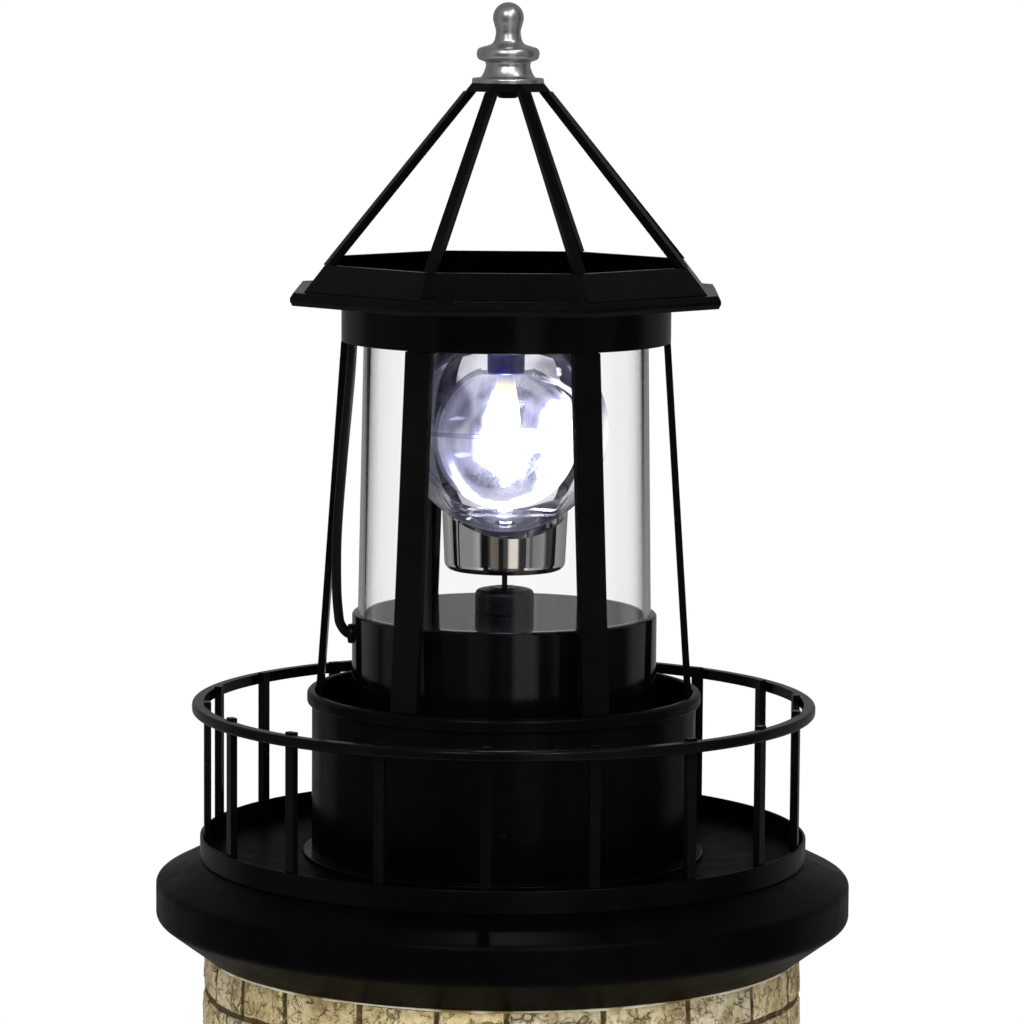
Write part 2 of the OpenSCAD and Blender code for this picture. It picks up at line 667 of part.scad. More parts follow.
// Half the angle that a tooth takes at radius r
function half_tooth(n, r) = let (a = acos(min(1, base_r(n) / r)))
    90 / n - backlash / 2 / pitch_r(n) * 90 / PI + inv(pressure) - inv(a);
function flank(n) = let (start = max(base_r(n), root_r(n) + 0.05), end = tip_r(n))
    concat([[root_r(n), half_tooth(n, start) + 0.4]],
        [for (i = [0:3]) let (r = start + (end - start) * i / 3) [r, half_tooth(n, r)]]);
function gear_outline(n) = let (f = flank(n), m = len(f)) [for (i = [0:n - 1]) let (a = i * 360 / n) each concat(
    [for (j = [0:m - 1]) f[j][0] * [cos(a - f[j][1]), sin(a - f[j][1])]],
    [for (j = [m - 1:-1:0]) f[j][0] * [cos(a + f[j][1]), sin(a + f[j][1])]])];
module gear(n, h) {
    linear_extrude(h) polygon(gear_outline(n));
}

drive_distance = pitch_r(drive_teeth) + pitch_r(pinion_teeth);
motor_distance = pitch_r(idler_teeth) + pitch_r(pinion_teeth);
motor_angle = 120;
idler_pos = [drive_distance, 0, 0];
motor_pos = idler_pos + motor_distance * [cos(motor_angle), sin(motor_angle), 0];
plate_pos = (idler_pos + motor_pos) / 3;
// A tooth of one gear stands in a gap of the other: the turn of the second gear
// follows from that of the first, turn_a, and the direction from the first to the second
function mesh_turn(turn_a, n_a, dir, n_b) = dir + 180 - (0.5 - (dir - turn_a) * n_a / 360) * 360 / n_b;
drive_turn = 0;
idler_turn = mesh_turn(drive_turn, drive_teeth, 0, pinion_teeth);
motor_turn = mesh_turn(idler_turn, idler_teeth, motor_angle, pinion_teeth);

z_under = z_deck - deck_t;
bush_flange_t = 1;
z_drive = z_under - bush_flange_t - air_gap - gear_w;
z_idler = z_drive - 2 * air_gap - gear_w;
plate_air = 1;
z_plate = z_idler - plate_air;
plate_t = 2;
plate_r = max(tip_r(drive_teeth), tip_r(idler_teeth)) + 10.7;
plate_screw_ring = plate_r - 4;
plate_shank_r = 1;
plate_screws_n = 3;
plate_screws_turn = 30;
bush_r = 3;
hub_r = 2.4;

module plate_screw_spots() {
    translate(plate_pos) round_about(plate_screws_n, plate_screws_turn) translate([plate_screw_ring, 0, 0]) children();
}

module gear_plate() color("#c9b98a") difference() {
    union() {
        translate(plate_pos + [0, 0, z_plate - plate_t]) cylinder(r = plate_r, h = plate_t);
        translate([0, 0, z_plate - plate_t - 2]) cylinder(r = bush_r, h = 2.5);
        translate(motor_pos + [0, 0, z_plate - plate_t - 6]) cylinder(r = motor_r + 1.6, h = 6.5);
    }
    translate([0, 0, z_plate - plate_t - 1]) cylinder(r = shaft_r + run_gap, h = plate_t + 2);
    translate(idler_pos + [0, 0, z_plate - plate_t - 1]) cylinder(r = idler_pin_r + press_gap, h = plate_t + 2);
    translate(motor_pos + [0, 0, z_plate - plate_t - 7]) cylinder(r = motor_r + seat_gap, h = 7);
    translate(motor_pos + [0, 0, z_plate - plate_t - 1]) cylinder(r = 3.2, h = plate_t + 2);
    plate_screw_spots() translate([0, 0, z_plate - plate_t - 1]) cylinder(r = plate_shank_r + air_gap, h = plate_t + 2);
}

module gear_plate_screws() color("#9a9a98") plate_screw_spots()
    translate([0, 0, z_plate - plate_t]) rotate([180, 0, 0]) pan_screw(2, 1.3, plate_shank_r, plate_t + 5);

module idler_pin() color("#b8b8b8") translate(idler_pos + [0, 0, z_plate - plate_t])
    cylinder(r = idler_pin_r, h = z_under - z_plate + plate_t - seat_gap);

motor_shaft_r = 1;
module motor() color("#8d8f92") difference() {
    translate(motor_pos + [0, 0, z_plate - plate_t - motor_h]) union() {
        turned([[0, 0, 0], [motor_r, 0, 1], [motor_r, motor_h - seat_gap, 0.8], [0, motor_h - seat_gap, 0]]);
        translate([0, 0, motor_h - 1]) cylinder(r = 3, h = 2);
    }
    translate(motor_pos + [0, 0, z_plate - plate_t - motor_h + 6]) cylinder(r = motor_shaft_r + run_gap, h = motor_h);
}

module motor_pinion() color("#e6e2d4") translate(motor_pos + [0, 0, z_idler]) {
    rotate([0, 0, motor_turn]) gear(pinion_teeth, gear_w);
    translate([0, 0, -plate_air - plate_t - motor_h + 6 + air_gap])
        cylinder(r = motor_shaft_r, h = gear_w + plate_air + plate_t + motor_h - 6 - air_gap);
}

module idler_gear() color("#e6e2d4") difference() {
    translate(idler_pos + [0, 0, z_idler]) rotate([0, 0, idler_turn]) {
        gear(idler_teeth, gear_w);
        gear(pinion_teeth, z_drive + gear_w - z_idler);
        translate([0, 0, -plate_air + seat_gap]) cylinder(r = hub_r, h = plate_air + 1);
    }
    translate(idler_pos + [0, 0, z_plate - 1]) cylinder(r = idler_pin_r + run_gap, h = 4 * gear_w);
}

module drive_gear() color("#e6e2d4") difference() {
    union() {
        translate([0, 0, z_drive]) rotate([0, 0, drive_turn]) gear(drive_teeth, gear_w);
        translate([0, 0, z_plate + seat_gap]) cylinder(r = hub_r, h = z_drive - z_plate);
    }
    translate([0, 0, z_plate - 1]) cylinder(r = shaft_r + press_gap, h = 4 * gear_w);
}

module shaft_bush() color("#b08d4a") difference() {
    union() {
        translate([0, 0, z_under - bush_flange_t]) cylinder(r = bush_r + 1, h = bush_flange_t - seat_gap / 2);
        translate([0, 0, z_under - bush_flange_t / 2]) cylinder(r = bush_r, h = deck_t + 1.5);
    }
    translate([0, 0, z_under - 2]) cylinder(r = shaft_r + run_gap, h = deck_t + 6);
}

module bearing_cap() color("#2a2a2c") difference() {
    translate([0, 0, z_deck + seat_gap / 2]) turned([[bush_r + 1.5, 0, 0], [cap_r, 0, 0.3],
        [cap_r, cap_h - 1, 1.6], [cap_r * 0.45, cap_h - seat_gap, 1], [0, cap_h - seat_gap, 0],
        [0, cap_h - 2.2, 0], [bush_r + 1.5, cap_h - 2.2, 0]]);
    translate([0, 0, z_deck]) cylinder(r = shaft_r + air_gap, h = cap_h + 1);
}

// ---------------------------------------------------------------- lamp base
z_cover = z_floor + cover_rise;
cover_r = lamp_in_r - seat_gap;
cover_boss_r = 3.2;
cover_screw_ring = lamp_in_r - cover_boss_r - 1.2;
cover_shank_r = 1.2;
cover_screws_n = 4;
cover_screws_turn = 0;
cover_boss_h = 14;
cover_bite = 9; // of the screws' shanks, into the bosses
switch_z = z_deck - switch_drop;
switch_w = 12;
switch_h = 14;
switch_d = 6;
switch_face = flat_in_round(lamp_in_r, switch_w);
slot_air = 0.3;
slot_h = knob_h + switch_travel + 2 * slot_air;
grommet_drop = 6;
grommet_z = z_deck - grommet_drop;
grommet_bearing = -84;
grommet_r = 2.9;
grommet_neck_r = 2.2;
grommet_flange_t = 1.2;

module lamp_base() color("#232326") difference() {
    union() {
        difference() {
            turned([[0, z_floor + seat_gap, 0], [lamp_base_r, z_floor + seat_gap, 0.4],
                [lamp_base_r, z_deck, 0.9], [0, z_deck, 0]]);
            translate([0, 0, z_floor - 1]) cylinder(r = lamp_in_r, h = z_under - z_floor + 1);
        }
        // bosses for the gear plate, and for the bottom cover
        plate_screw_spots() translate([0, 0, z_plate + seat_gap / 2]) cylinder(r = 3, h = z_under - z_plate);
        for (i = [0:cover_screws_n - 1]) at(i * 360 / cover_screws_n + cover_screws_turn, cover_screw_ring, z_cover + cover_t + seat_gap) {
            cylinder(r = cover_boss_r, h = cover_boss_h);
            translate([0, -cover_boss_r, 0]) cube([cover_boss_r + 1.5, 2 * cover_boss_r, cover_boss_h]);
        }
    }
    translate([0, 0, z_under - 1]) cylinder(r = bush_r + press_gap, h = deck_t + 2);
    plate_screw_spots() translate([0, 0, z_plate - 1]) cylinder(r = plate_shank_r + press_gap, h = 8);
    for (i = [0:cover_screws_n - 1]) at(i * 360 / cover_screws_n + cover_screws_turn, cover_screw_ring, z_cover)
        cylinder(r = cover_shank_r + press_gap, h = cover_t + cover_bite + 3);
    // slot of the switch, and hole of the grommet
    at(180, lamp_in_r - 2, switch_z - knob_h / 2 - slot_air)
        translate([0, -knob_w / 2 - slot_air, 0]) cube([lamp_base_t + 4, knob_w + 2 * slot_air, slot_h]);
    at(grommet_bearing, lamp_in_r - 2, grommet_z) rotate([0, 90, 0])
        cylinder(r = grommet_neck_r + press_gap, h = lamp_base_t + 4);
}

board_rise = 22; // of the circuit board, over the bottom cover
board_z = z_cover + cover_t + board_rise;
pillar_y = cell_r * 2 + 7;
module base_cover() color("#232326") difference() {
    union() {
        translate([0, 0, z_cover]) cylinder(r = cover_r, h = cover_t);
        for (y = [-pillar_y, pillar_y]) translate([0, y, z_cover + cover_t / 2]) {
            cylinder(r = 2.6, h = board_z - z_cover - cover_t / 2 - seat_gap);
            cylinder(r = 1.2, h = board_z - z_cover - cover_t / 2 + 2.4);
        }
    }
    for (i = [0:cover_screws_n - 1]) at(i * 360 / cover_screws_n + cover_screws_turn, cover_screw_ring, z_cover - 1)
        cylinder(r = cover_shank_r + air_gap, h = cover_t + 2);
}

module base_cover_screws() color("#9a9a98")
    for (i = [0:cover_screws_n - 1]) at(i * 360 / cover_screws_n + cover_screws_turn, cover_screw_ring, z_cover)
        rotate([180, 0, 0]) pan_screw(2.5, 1.6, cover_shank_r, cover_t + cover_bite);

contact_t = 0.6;
contact_air = 1;
holder_wall = 1.5;
holder_in = [cell_l + 2 * contact_t + 2 * contact_air, 4 * cell_r + 4 * seat_gap, 1.5 * cell_r];
z_holder_foot = z_cover + cover_t + seat_gap / 2;
z_cells = z_holder_foot + holder_wall + seat_gap + cell_r;
module battery_holder() color("#1d1d1f") difference() {
    translate([-holder_in[0] / 2 - holder_wall, -holder_in[1] / 2 - holder_wall, z_holder_foot])
        cube([holder_in[0] + 2 * holder_wall, holder_in[1] + 2 * holder_wall, holder_in[2] + holder_wall]);
    translate([-holder_in[0] / 2, -holder_in[1] / 2, z_holder_foot + holder_wall])
        cube([holder_in[0], holder_in[1], holder_in[2] + 1]);
}

module battery_contacts() color("#c9c9cb") for (side = [-1, 1]) for (y = [-1, 1]) {
    inner = holder_in[0] / 2 - seat_gap - contact_t;
    translate([side > 0 ? inner : -inner - contact_t, y * cell_r - cell_r * 0.7, z_holder_foot + holder_wall + seat_gap])
        cube([contact_t, cell_r * 1.4, holder_in[2] - 1]);
    translate([side * (inner + seat_gap), y * cell_r, z_cells]) rotate([0, -90 * side, 0])
        cylinder(r1 = 3, r2 = 2, h = contact_air);
}

module battery_cells() color("#3f7f55") for (y = [-1, 1])
    translate([-cell_l / 2, y * (cell_r + seat_gap), z_cells]) rotate([0, 90, 0])
        turned([[0, 0, 0], [cell_r, 0, 0.5], [cell_r, cell_l - 1, 0.5], [2.6, cell_l - 1, 0], [2.6, cell_l, 0], [0, cell_l, 0]]);

board_w = 44;
board_t = 1.6;
module circuit_board() color("#2f6b45") {
    difference() {
        translate([-board_w / 2, -pillar_y - 4, board_z]) cube([board_w, 2 * pillar_y + 8, board_t]);
        for (y = [-pillar_y, pillar_y]) translate([0, y, board_z - 1]) cylinder(r = 1.3, h = board_t + 2);
    }
    translate([-16, -6, board_z + board_t / 2]) cube([9, 6, 2.4]);
    translate([8, -10, board_z + board_t / 2]) cylinder(r = 4, h = 9);
    translate([10, 8, board_z + board_t / 2]) cylinder(r = 3, h = 7);
    translate([-12, 8, board_z + board_t / 2]) cube([6, 7, 4]);
}

module switch_body() color("#1d1d1f") at(180, 0, 0) difference() {
    translate([switch_face - switch_d, -switch_w / 2, switch_z + switch_travel / 2 - switch_h / 2])
        cube([switch_d, switch_w, switch_h]);
    translate([switch_face - switch_d + 1.5, -knob_w / 2 - slot_air, switch_z - knob_h / 2 - slot_air])
        cube([switch_d, knob_w + 2 * slot_air, slot_h]);
}

module switch_slider() color("#b3262a") at(180, 0, 0)
    translate([switch_face - switch_d + 1.5 + seat_gap, -knob_w / 2, switch_z - knob_h / 2])
        cube([lamp_base_r + 1.8 - switch_face + switch_d - 1.5, knob_w, knob_h]);

grommet_bore_r = lead_r + 2 * seat_gap;
module lead_grommet() color("#141414") at(grommet_bearing, lamp_base_r, grommet_z) rotate([0, 90, 0])
    translate([0, 0, -lamp_base_t - grommet_flange_t - seat_gap]) turned([[grommet_bore_r, 0, 0],
        [grommet_r - 0.5, 0, 0.3], [grommet_r - 0.3, grommet_flange_t, 0], [grommet_neck_r, grommet_flange_t, 0],
        [grommet_neck_r, grommet_flange_t + lamp_base_t + 2 * seat_gap, 0],
        [grommet_r, grommet_flange_t + lamp_base_t + 2 * seat_gap, 0],
        [grommet_r - 0.2, 2 * grommet_flange_t + lamp_base_t + 2 * seat_gap, 0.4],
        [grommet_bore_r + 0.5, 2 * grommet_flange_t + lamp_base_t + 2 * seat_gap, 0],
        [grommet_bore_r, grommet_flange_t + lamp_base_t + 2 * seat_gap, 0]]);

// The lead: [bearing, radius, height] from the solar housing, down beside the tube, to the board.
// It hangs free of the tube by shares of the height from the deck up to the collar.
lead_fall = z_collar - z_deck;
lead_slack = lamp_base_r + 3.4;
lead_points = [[lead_bearing, lead_run_r, z_collar + 0.6], [lead_bearing, lead_run_r, z_collar - 5 * lead_r],
    [lead_bearing, lead_slack - 2, z_deck + 0.75 * lead_fall], [-79, lead_slack, z_deck + 0.49 * lead_fall],
    [-80, lead_slack + lead_r, z_deck + 0.26 * lead_fall], [-81, lead_slack + lead_r, z_deck + 0.09 * lead_fall],
    [-82.5, lead_slack + lead_r / 2, z_deck], [-83.5, lead_slack, grommet_z + 2 * lead_r],
    [grommet_bearing, lead_slack - 2, grommet_z + 0.2], [grommet_bearing, lamp_base_r - 1, grommet_z],
    [grommet_bearing, lamp_in_r - 3.5, grommet_z], [grommet_bearing, lamp_in_r - 9, grommet_z - 6],
    [-86, 26, board_z + 18], [-88, 20, board_z + 8], [-88, 19.5, board_z + board_t + 3],
    [-88, 19.5, board_z + board_t + air_gap]];
lead_steps = 3;
lead_sides = 8;
function cartesian(p) = [p[1] * sin(p[0]), -p[1] * cos(p[0]), p[2]];
function spline(a, b, c, d, t) = 0.5 * (2 * b + t * (c - a) + t * t * (2 * a - 5 * b + 4 * c - d)
    + t * t * t * (3 * b - a - 3 * c + d));
function path(points, steps) = let (p = [for (q = points) cartesian(q)], n = len(p))
    [for (i = [0:n - 2]) for (s = [0:steps - 1])
        spline(p[max(i - 1, 0)], p[i], p[i + 1], p[min(i + 2, n - 1)], s / steps), p[n - 1]];

// A tube swept along a path, with rings square to it
module sweep(p, r, n) {
    m = len(p);
    side_ref = [0.31, 0.95, 0.02];
    rings = [for (i = [0:m - 1]) let (t = unit(p[min(i + 1, m - 1)] - p[max(i - 1, 0)]),
        u = unit(cross(t, side_ref)), v = cross(t, u))
        for (k = [0:n - 1]) p[i] + r * (cos(k * 360 / n) * u + sin(k * 360 / n) * v)];
    tube_faces = [for (i = [0:m - 2]) for (k = [0:n - 1]) each let (a = i * n + k, b = i * n + (k + 1) % n)
        [[a, b, a + n], [b, b + n, a + n]]];
    polyhedron(rings, concat([[for (k = [n - 1:-1:0]) k]], tube_faces, [[for (k = [0:n - 1]) (m - 1) * n + k]]));
}

module solar_lead() color("#0e0e0e") sweep(path(lead_points, lead_steps), lead_r, lead_sides);

// ---------------------------------------------------------------- beacon
module beacon_shaft() color("#b8b8b8") translate([0, 0, z_plate - plate_t - 1 + seat_gap])
    cylinder(r = shaft_r, h = z_cup + 5 - z_plate + plate_t + 1 - seat_gap);

module bright_cup() color("#dcdcde") difference() {
    turned([[0, z_cup, 0], [cup_r, z_cup, 2.5], [cup_rim_r, z_rim, 0], [0, z_rim, 0]]);
    difference() {
        turned([[0, z_cup + cup_t, 0], [cup_r - cup_t, z_cup + cup_t, 2], [cup_rim_r - cup_t, z_rim + 1, 0], [0, z_rim + 1, 0]]);
        translate([0, 0, z_cup]) cylinder(r = 4, h = 7);
    }
    translate([0, 0, z_cup - 1]) cylinder(r = shaft_r + press_gap, h = 6 + press_gap);
    // the globe sits in a saddle, which leaves it clear towards the beam and behind
    at(beam_bearing, 0, z_globe) rotate([0, 90, 0]) cylinder(r = globe_r + seat_gap, h = 4 * globe_r, center = true);
}

lap = 1;
module globe_shell() {
    difference() {
        translate([0, 0, z_globe]) sphere(r = globe_r);
        translate([0, 0, z_globe]) sphere(r = globe_in_r);
        translate([0, 0, z_globe]) cylinder(r = globe_hole_r, h = globe_r + 1);
    }
}
// The halves of the globe are lapped: the lower one has the inner tongue
module globe_lower() color("#e9eef2", 0.5) difference() {
    globe_shell();
    translate([0, 0, z_globe + lap]) cylinder(r = globe_r + 1, h = globe_r + 1);
    translate([0, 0, z_globe]) ring(globe_r - globe_t / 2, globe_r + 1, lap + 1);
}
module globe_upper() color("#e9eef2", 0.5) difference() {
    globe_shell();
    translate([0, 0, z_globe - globe_r - 1 + seat_gap / 2]) cylinder(r = globe_r + 1, h = globe_r + 1);
    translate([0, 0, z_globe - 1]) cylinder(r = globe_r - globe_t / 2 + seat_gap / 2, h = lap + 1 + seat_gap / 2);
}

mirror_shift = 2;
mirror_z = z_globe - 2;
mirror_hole_r = globe_hole_r - 0.5;
mirror_foot_r = 7;
mirror_foot_h = 2.6;
stem_r = 2.2;
module beam_mirror() color("#dfe3e8") difference() {
    union() {
        at(beam_bearing) difference() {
            translate([mirror_shift, 0, mirror_z]) sphere(r = mirror_r);
            translate([mirror_shift + 1, -mirror_r - 1, mirror_z - mirror_r - 1])
                cube([mirror_r + 1, 2 * mirror_r + 2, 2 * mirror_r + 2]);
        }
        translate([0, 0, z_globe - globe_in_r]) cylinder(r = stem_r, h = mirror_z - mirror_r / 2 - z_globe + globe_in_r);
        intersection() {
            translate([0, 0, z_globe]) sphere(r = globe_in_r - seat_gap);
            translate([0, 0, z_globe - globe_in_r]) cylinder(r = mirror_foot_r, h = mirror_foot_h);
        }
    }
    at(beam_bearing) translate([mirror_shift, 0, mirror_z]) sphere(r = mirror_r - mirror_t);
    translate([0, 0, mirror_z]) cylinder(r = mirror_hole_r, h = mirror_r + 1);
    difference() {
        translate([0, 0, z_globe - globe_in_r - 2]) cylinder(r = mirror_foot_r + 1, h = mirror_foot_h + 3);
        translate([0, 0, z_globe]) sphere(r = globe_in_r - seat_gap);
    }
}

// ---------------------------------------------------------------- output
tower();
base_plate();
base_plate_screws();
gallery_slab();
slab_screws();
gallery_tray();
toe_board();
railing_posts();
railing_rail();
lantern_drum();
drum_screws();
cage_posts();
cage_band();
eave_plate();
roof_skirt();
roof_ribs();
roof_cap();
finial_screw();
finial();
solar_housing();
solar_panel();
led_holder();
led_lamp();
clear_tube();
lamp_base();
bearing_cap();
shaft_bush();
gear_plate();
gear_plate_screws();
idler_pin();
motor();
base_cover();
base_cover_screws();
battery_holder();
battery_contacts();
battery_cells();
circuit_board();
switch_body();
lead_grommet();
solar_lead();
beacon_shaft();
drive_gear();
bright_cup();
globe_lower();
globe_upper();
beam_mirror();
idler_gear();
motor_pinion();
switch_slider();
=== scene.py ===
import math
import random

import bmesh
import bpy
from mathutils import Matrix, Vector, noise


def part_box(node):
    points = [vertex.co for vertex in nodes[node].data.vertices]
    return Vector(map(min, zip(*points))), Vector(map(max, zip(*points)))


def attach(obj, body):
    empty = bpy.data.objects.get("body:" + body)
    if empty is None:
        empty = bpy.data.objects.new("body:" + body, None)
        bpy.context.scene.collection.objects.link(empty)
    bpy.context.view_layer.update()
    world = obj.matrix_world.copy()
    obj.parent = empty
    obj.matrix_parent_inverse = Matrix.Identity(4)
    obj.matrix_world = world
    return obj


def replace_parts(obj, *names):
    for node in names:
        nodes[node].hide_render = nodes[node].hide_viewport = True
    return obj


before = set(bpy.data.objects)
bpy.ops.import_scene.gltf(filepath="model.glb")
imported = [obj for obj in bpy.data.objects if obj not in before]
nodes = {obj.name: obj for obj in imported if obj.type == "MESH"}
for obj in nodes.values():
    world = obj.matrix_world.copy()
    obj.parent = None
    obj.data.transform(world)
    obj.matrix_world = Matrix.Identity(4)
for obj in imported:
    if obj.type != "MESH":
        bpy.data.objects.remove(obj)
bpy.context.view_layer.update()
scene = bpy.context.scene
ROOT = "lighthouse"              # the body that stands still
MM = 0.001                       # m
X_AXIS, Y_AXIS, Z_AXIS = (1.0, 0.0, 0.0), (0.0, 1.0, 0.0), (0.0, 0.0, 1.0)
ZERO = (0.0, 0.0, 0.0)
WHITE = (1.0, 1.0, 1.0)

# ------------------------ camera: the photograph's own view
SENSOR = 36.0                    # mm
LENS = 165.83                    # mm
CAMERA_AT = (0.0020, -1.350, 0.9266)
PITCH = 6.7                      # degrees below the horizon
ROLL = 0.40                      # degrees

cam_data = bpy.data.cameras.new("photo_camera")
cam_data.sensor_width = SENSOR
cam_data.lens = LENS
cam_data.clip_start = 0.01
cam_data.clip_end = 200.0
camera = bpy.data.objects.new("photo_camera", cam_data)
scene.collection.objects.link(camera)
camera.matrix_world = (Matrix.Translation(CAMERA_AT)
                       @ Matrix.Rotation(math.radians(90 - PITCH), 4, "X")
                       @ Matrix.Rotation(math.radians(ROLL), 4, "Z"))
scene.camera = camera
scene.view_settings.view_transform = "Standard"


# ------------------------ node trees in a few lines
def feed(tree, socket, value):
    """Links a socket, or sets a number or a colour on it."""
    if isinstance(value, bpy.types.NodeSocket):
        tree.links.new(value, socket)
    elif isinstance(value, (int, float)):
        socket.default_value = value
    elif len(value) == 3 and socket.type == "RGBA":
        socket.default_value = (*value, 1.0)
    else:
        socket.default_value = value


class Graph:
    """The node tree of a material or a world, written from its sources to its surface."""

    def __init__(self, name, kind="materials", coordinate="Object"):
        self.owner = getattr(bpy.data, kind).new(name)
        self.owner.use_nodes = True
        self.tree = self.owner.node_tree
        self.tree.nodes.clear()
        self.coord = self.add("ShaderNodeTexCoord").outputs[coordinate]

    def add(self, kind, **settings):
        n = self.tree.nodes.new(kind)
        for k, v in settings.items():
            setattr(n, k, v)
        return n

    def link(self, a, b):
        self.tree.links.new(a, b)

    def math(self, operation, a, b=0.0):
        n = self.add("ShaderNodeMath", operation=operation)
        feed(self.tree, n.inputs[0], a)
        feed(self.tree, n.inputs[1], b)
        return n.outputs[0]

    def times(self, a, b):
        return self.math("MULTIPLY", a, b)

    def vector(self, operation, a, b):
        n = self.add("ShaderNodeVectorMath", operation=operation)
        feed(self.tree, n.inputs[0], a)
        feed(self.tree, n.inputs[1], b)
        return n.outputs["Value" if operation in ("DOT_PRODUCT", "DISTANCE", "LENGTH") else "Vector"]

    def along(self, source, direction):
        """How far a vector goes in a direction of length one."""
        return self.vector("DOT_PRODUCT", source, direction)

    def length(self, source):
        return self.vector("LENGTH", source, ZERO)

    def noise(self, scale, detail=4.0, rough=0.55, stretch=None, color=False):
        source = self.coord
        if stretch:
            source = self.vector("MULTIPLY", source, stretch)
        n = self.add("ShaderNodeTexNoise")
        n.inputs["Scale"].default_value = scale
        n.inputs["Detail"].default_value = detail
        n.inputs["Roughness"].default_value = rough
        self.link(source, n.inputs["Vector"])
        return n.outputs["Color" if color else "Fac"]

    def warped(self, scale, amount):
        """The coordinates, pushed about by a noise."""
        push = self.vector("SUBTRACT", self.noise(scale, 3.0, color=True), (0.5, 0.5, 0.5))
        return self.vector("ADD", self.coord, self.vector("MULTIPLY", push, (amount,) * 3))

    def cracks(self, scale, source):
        """How far a place lies from the edges of irregular cells."""
        n = self.add("ShaderNodeTexVoronoi", feature="DISTANCE_TO_EDGE")
        n.inputs["Scale"].default_value = scale
        self.link(source, n.inputs["Vector"])
        return n.outputs["Distance"]

    def ramp(self, fac, stops):
        r = self.add("ShaderNodeValToRGB")
        while len(r.color_ramp.elements) < len(stops):
            r.color_ramp.elements.new(0.5)
        for e, (pos, col) in zip(r.color_ramp.elements, stops):
            e.position = pos
            e.color = (*col, 1.0)
        self.link(fac, r.inputs["Fac"])
        return r.outputs["Color"]

    def span(self, fac, low, high, from_low=0.3, from_high=0.7, smooth=False):
        """A value between two limits, spread over low to high."""
        m = self.add("ShaderNodeMapRange")
        if smooth:
            m.interpolation_type = "SMOOTHSTEP"
        feed(self.tree, m.inputs["Value"], fac)
        limits = {"From Min": from_low, "From Max": from_high, "To Min": low, "To Max": high}
        for key, value in limits.items():
            feed(self.tree, m.inputs[key], value)
        return m.outputs["Result"]

    def mix(self, fac, a, b, kind="MIX"):
        m = self.add("ShaderNodeMix", data_type="RGBA", blend_type=kind)
        for socket, value in zip((m.inputs[0], m.inputs[6], m.inputs[7]), (fac, a, b)):
            feed(self.tree, socket, value)
        return m.outputs[2]

    def bump(self, height, strength, distance, normal=None):
        b = self.add("ShaderNodeBump")
        b.inputs["Strength"].default_value = strength
        b.inputs["Distance"].default_value = distance
        self.link(height, b.inputs["Height"])
        if normal:
            self.link(normal, b.inputs["Normal"])
        return b.outputs["Normal"]

    def rounded(self, radius):
        """A normal that rounds the sharp folds of sheet metal."""
        b = self.add("ShaderNodeBevel")
        b.samples = 4
        b.inputs["Radius"].default_value = radius
        return b.outputs["Normal"]

    def surface(self, shader_out):
        out = self.add("ShaderNodeOutputMaterial")
        self.link(shader_out, out.inputs["Surface"])
        return self.owner

    def material(self, color, rough, normal=None, glow=None, **constants):
        """The finished material, from sockets or plain values."""
        p = self.add("ShaderNodeBsdfPrincipled")
        inputs = {"Base Color": color, "Roughness": rough, "Normal": normal, "Emission Color": glow}
        for name, value in inputs.items():
            if value is not None:
                feed(self.tree, p.inputs[name], value)
        for name, value in constants.items():
            p.inputs[name.replace("_", " ")].default_value = value
        return self.surface(p.outputs["BSDF"])


# ------------------------ materials
def painted(name, dark, light, rough, spec, grain=900.0, bump=0.12, fold=0.0003):
    """Painted sheet or moulded plastic: a fine grain, slow changes of tone and gloss."""
    g = Graph(name)
    color = g.ramp(g.noise(38.0, 3.0), [(0.35, dark), (0.7, light)])
    roughness = g.span(g.noise(150.0, 3.0), rough - 0.04, rough + 0.06)
    normal = g.bump(g.noise(grain, 2.0), bump, 0.0004, g.rounded(fold))
    return g.material(color, roughness, normal, Specular_IOR_Level=spec)


def metal(name, color, rough, bump=0.08, stretch=(1, 1, 14), scale=260.0):
    """Bare or plated metal with the fine marks of turning."""
    g = Graph(name)
    marks = g.noise(scale, 3.0, stretch=stretch)
    tone = g.ramp(marks, [(0.3, tuple(c * 0.90 for c in color)), (0.7, color)])
    roughness = g.span(marks, rough * 0.95, rough * 1.06)
    return g.material(tone, roughness, g.bump(marks, bump, 0.0003) if bump else None, Metallic=1.0)


def tube_material():
    """Clear plastic, with faint handling marks in its gloss."""
    g = Graph("tube_clear")
    marks = g.noise(60.0, 5.0, stretch=(1, 1, 0.3))
    return g.material((0.985, 0.988, 0.992), g.span(marks, 0.0, 0.008), g.bump(g.noise(14.0, 2.0), 0.02, 0.001),
                      Transmission_Weight=1.0, IOR=1.47, Specular_Tint=(0.4, 0.4, 0.45, 1.0))


PIT_TONE = (0.46, 0.39, 0.26)
STAIN_BROWN = (0.24, 0.16, 0.055)
CRACK_BROWN = (0.075, 0.046, 0.013)
# the colour of the painted highlight along the stones' rounded edges
EDGE_HIGHLIGHT_CREAM = (0.74, 0.67, 0.44)
JOINT_BROWN = (0.078, 0.050, 0.016)
FOLD_BROWN = (0.11, 0.072, 0.022)


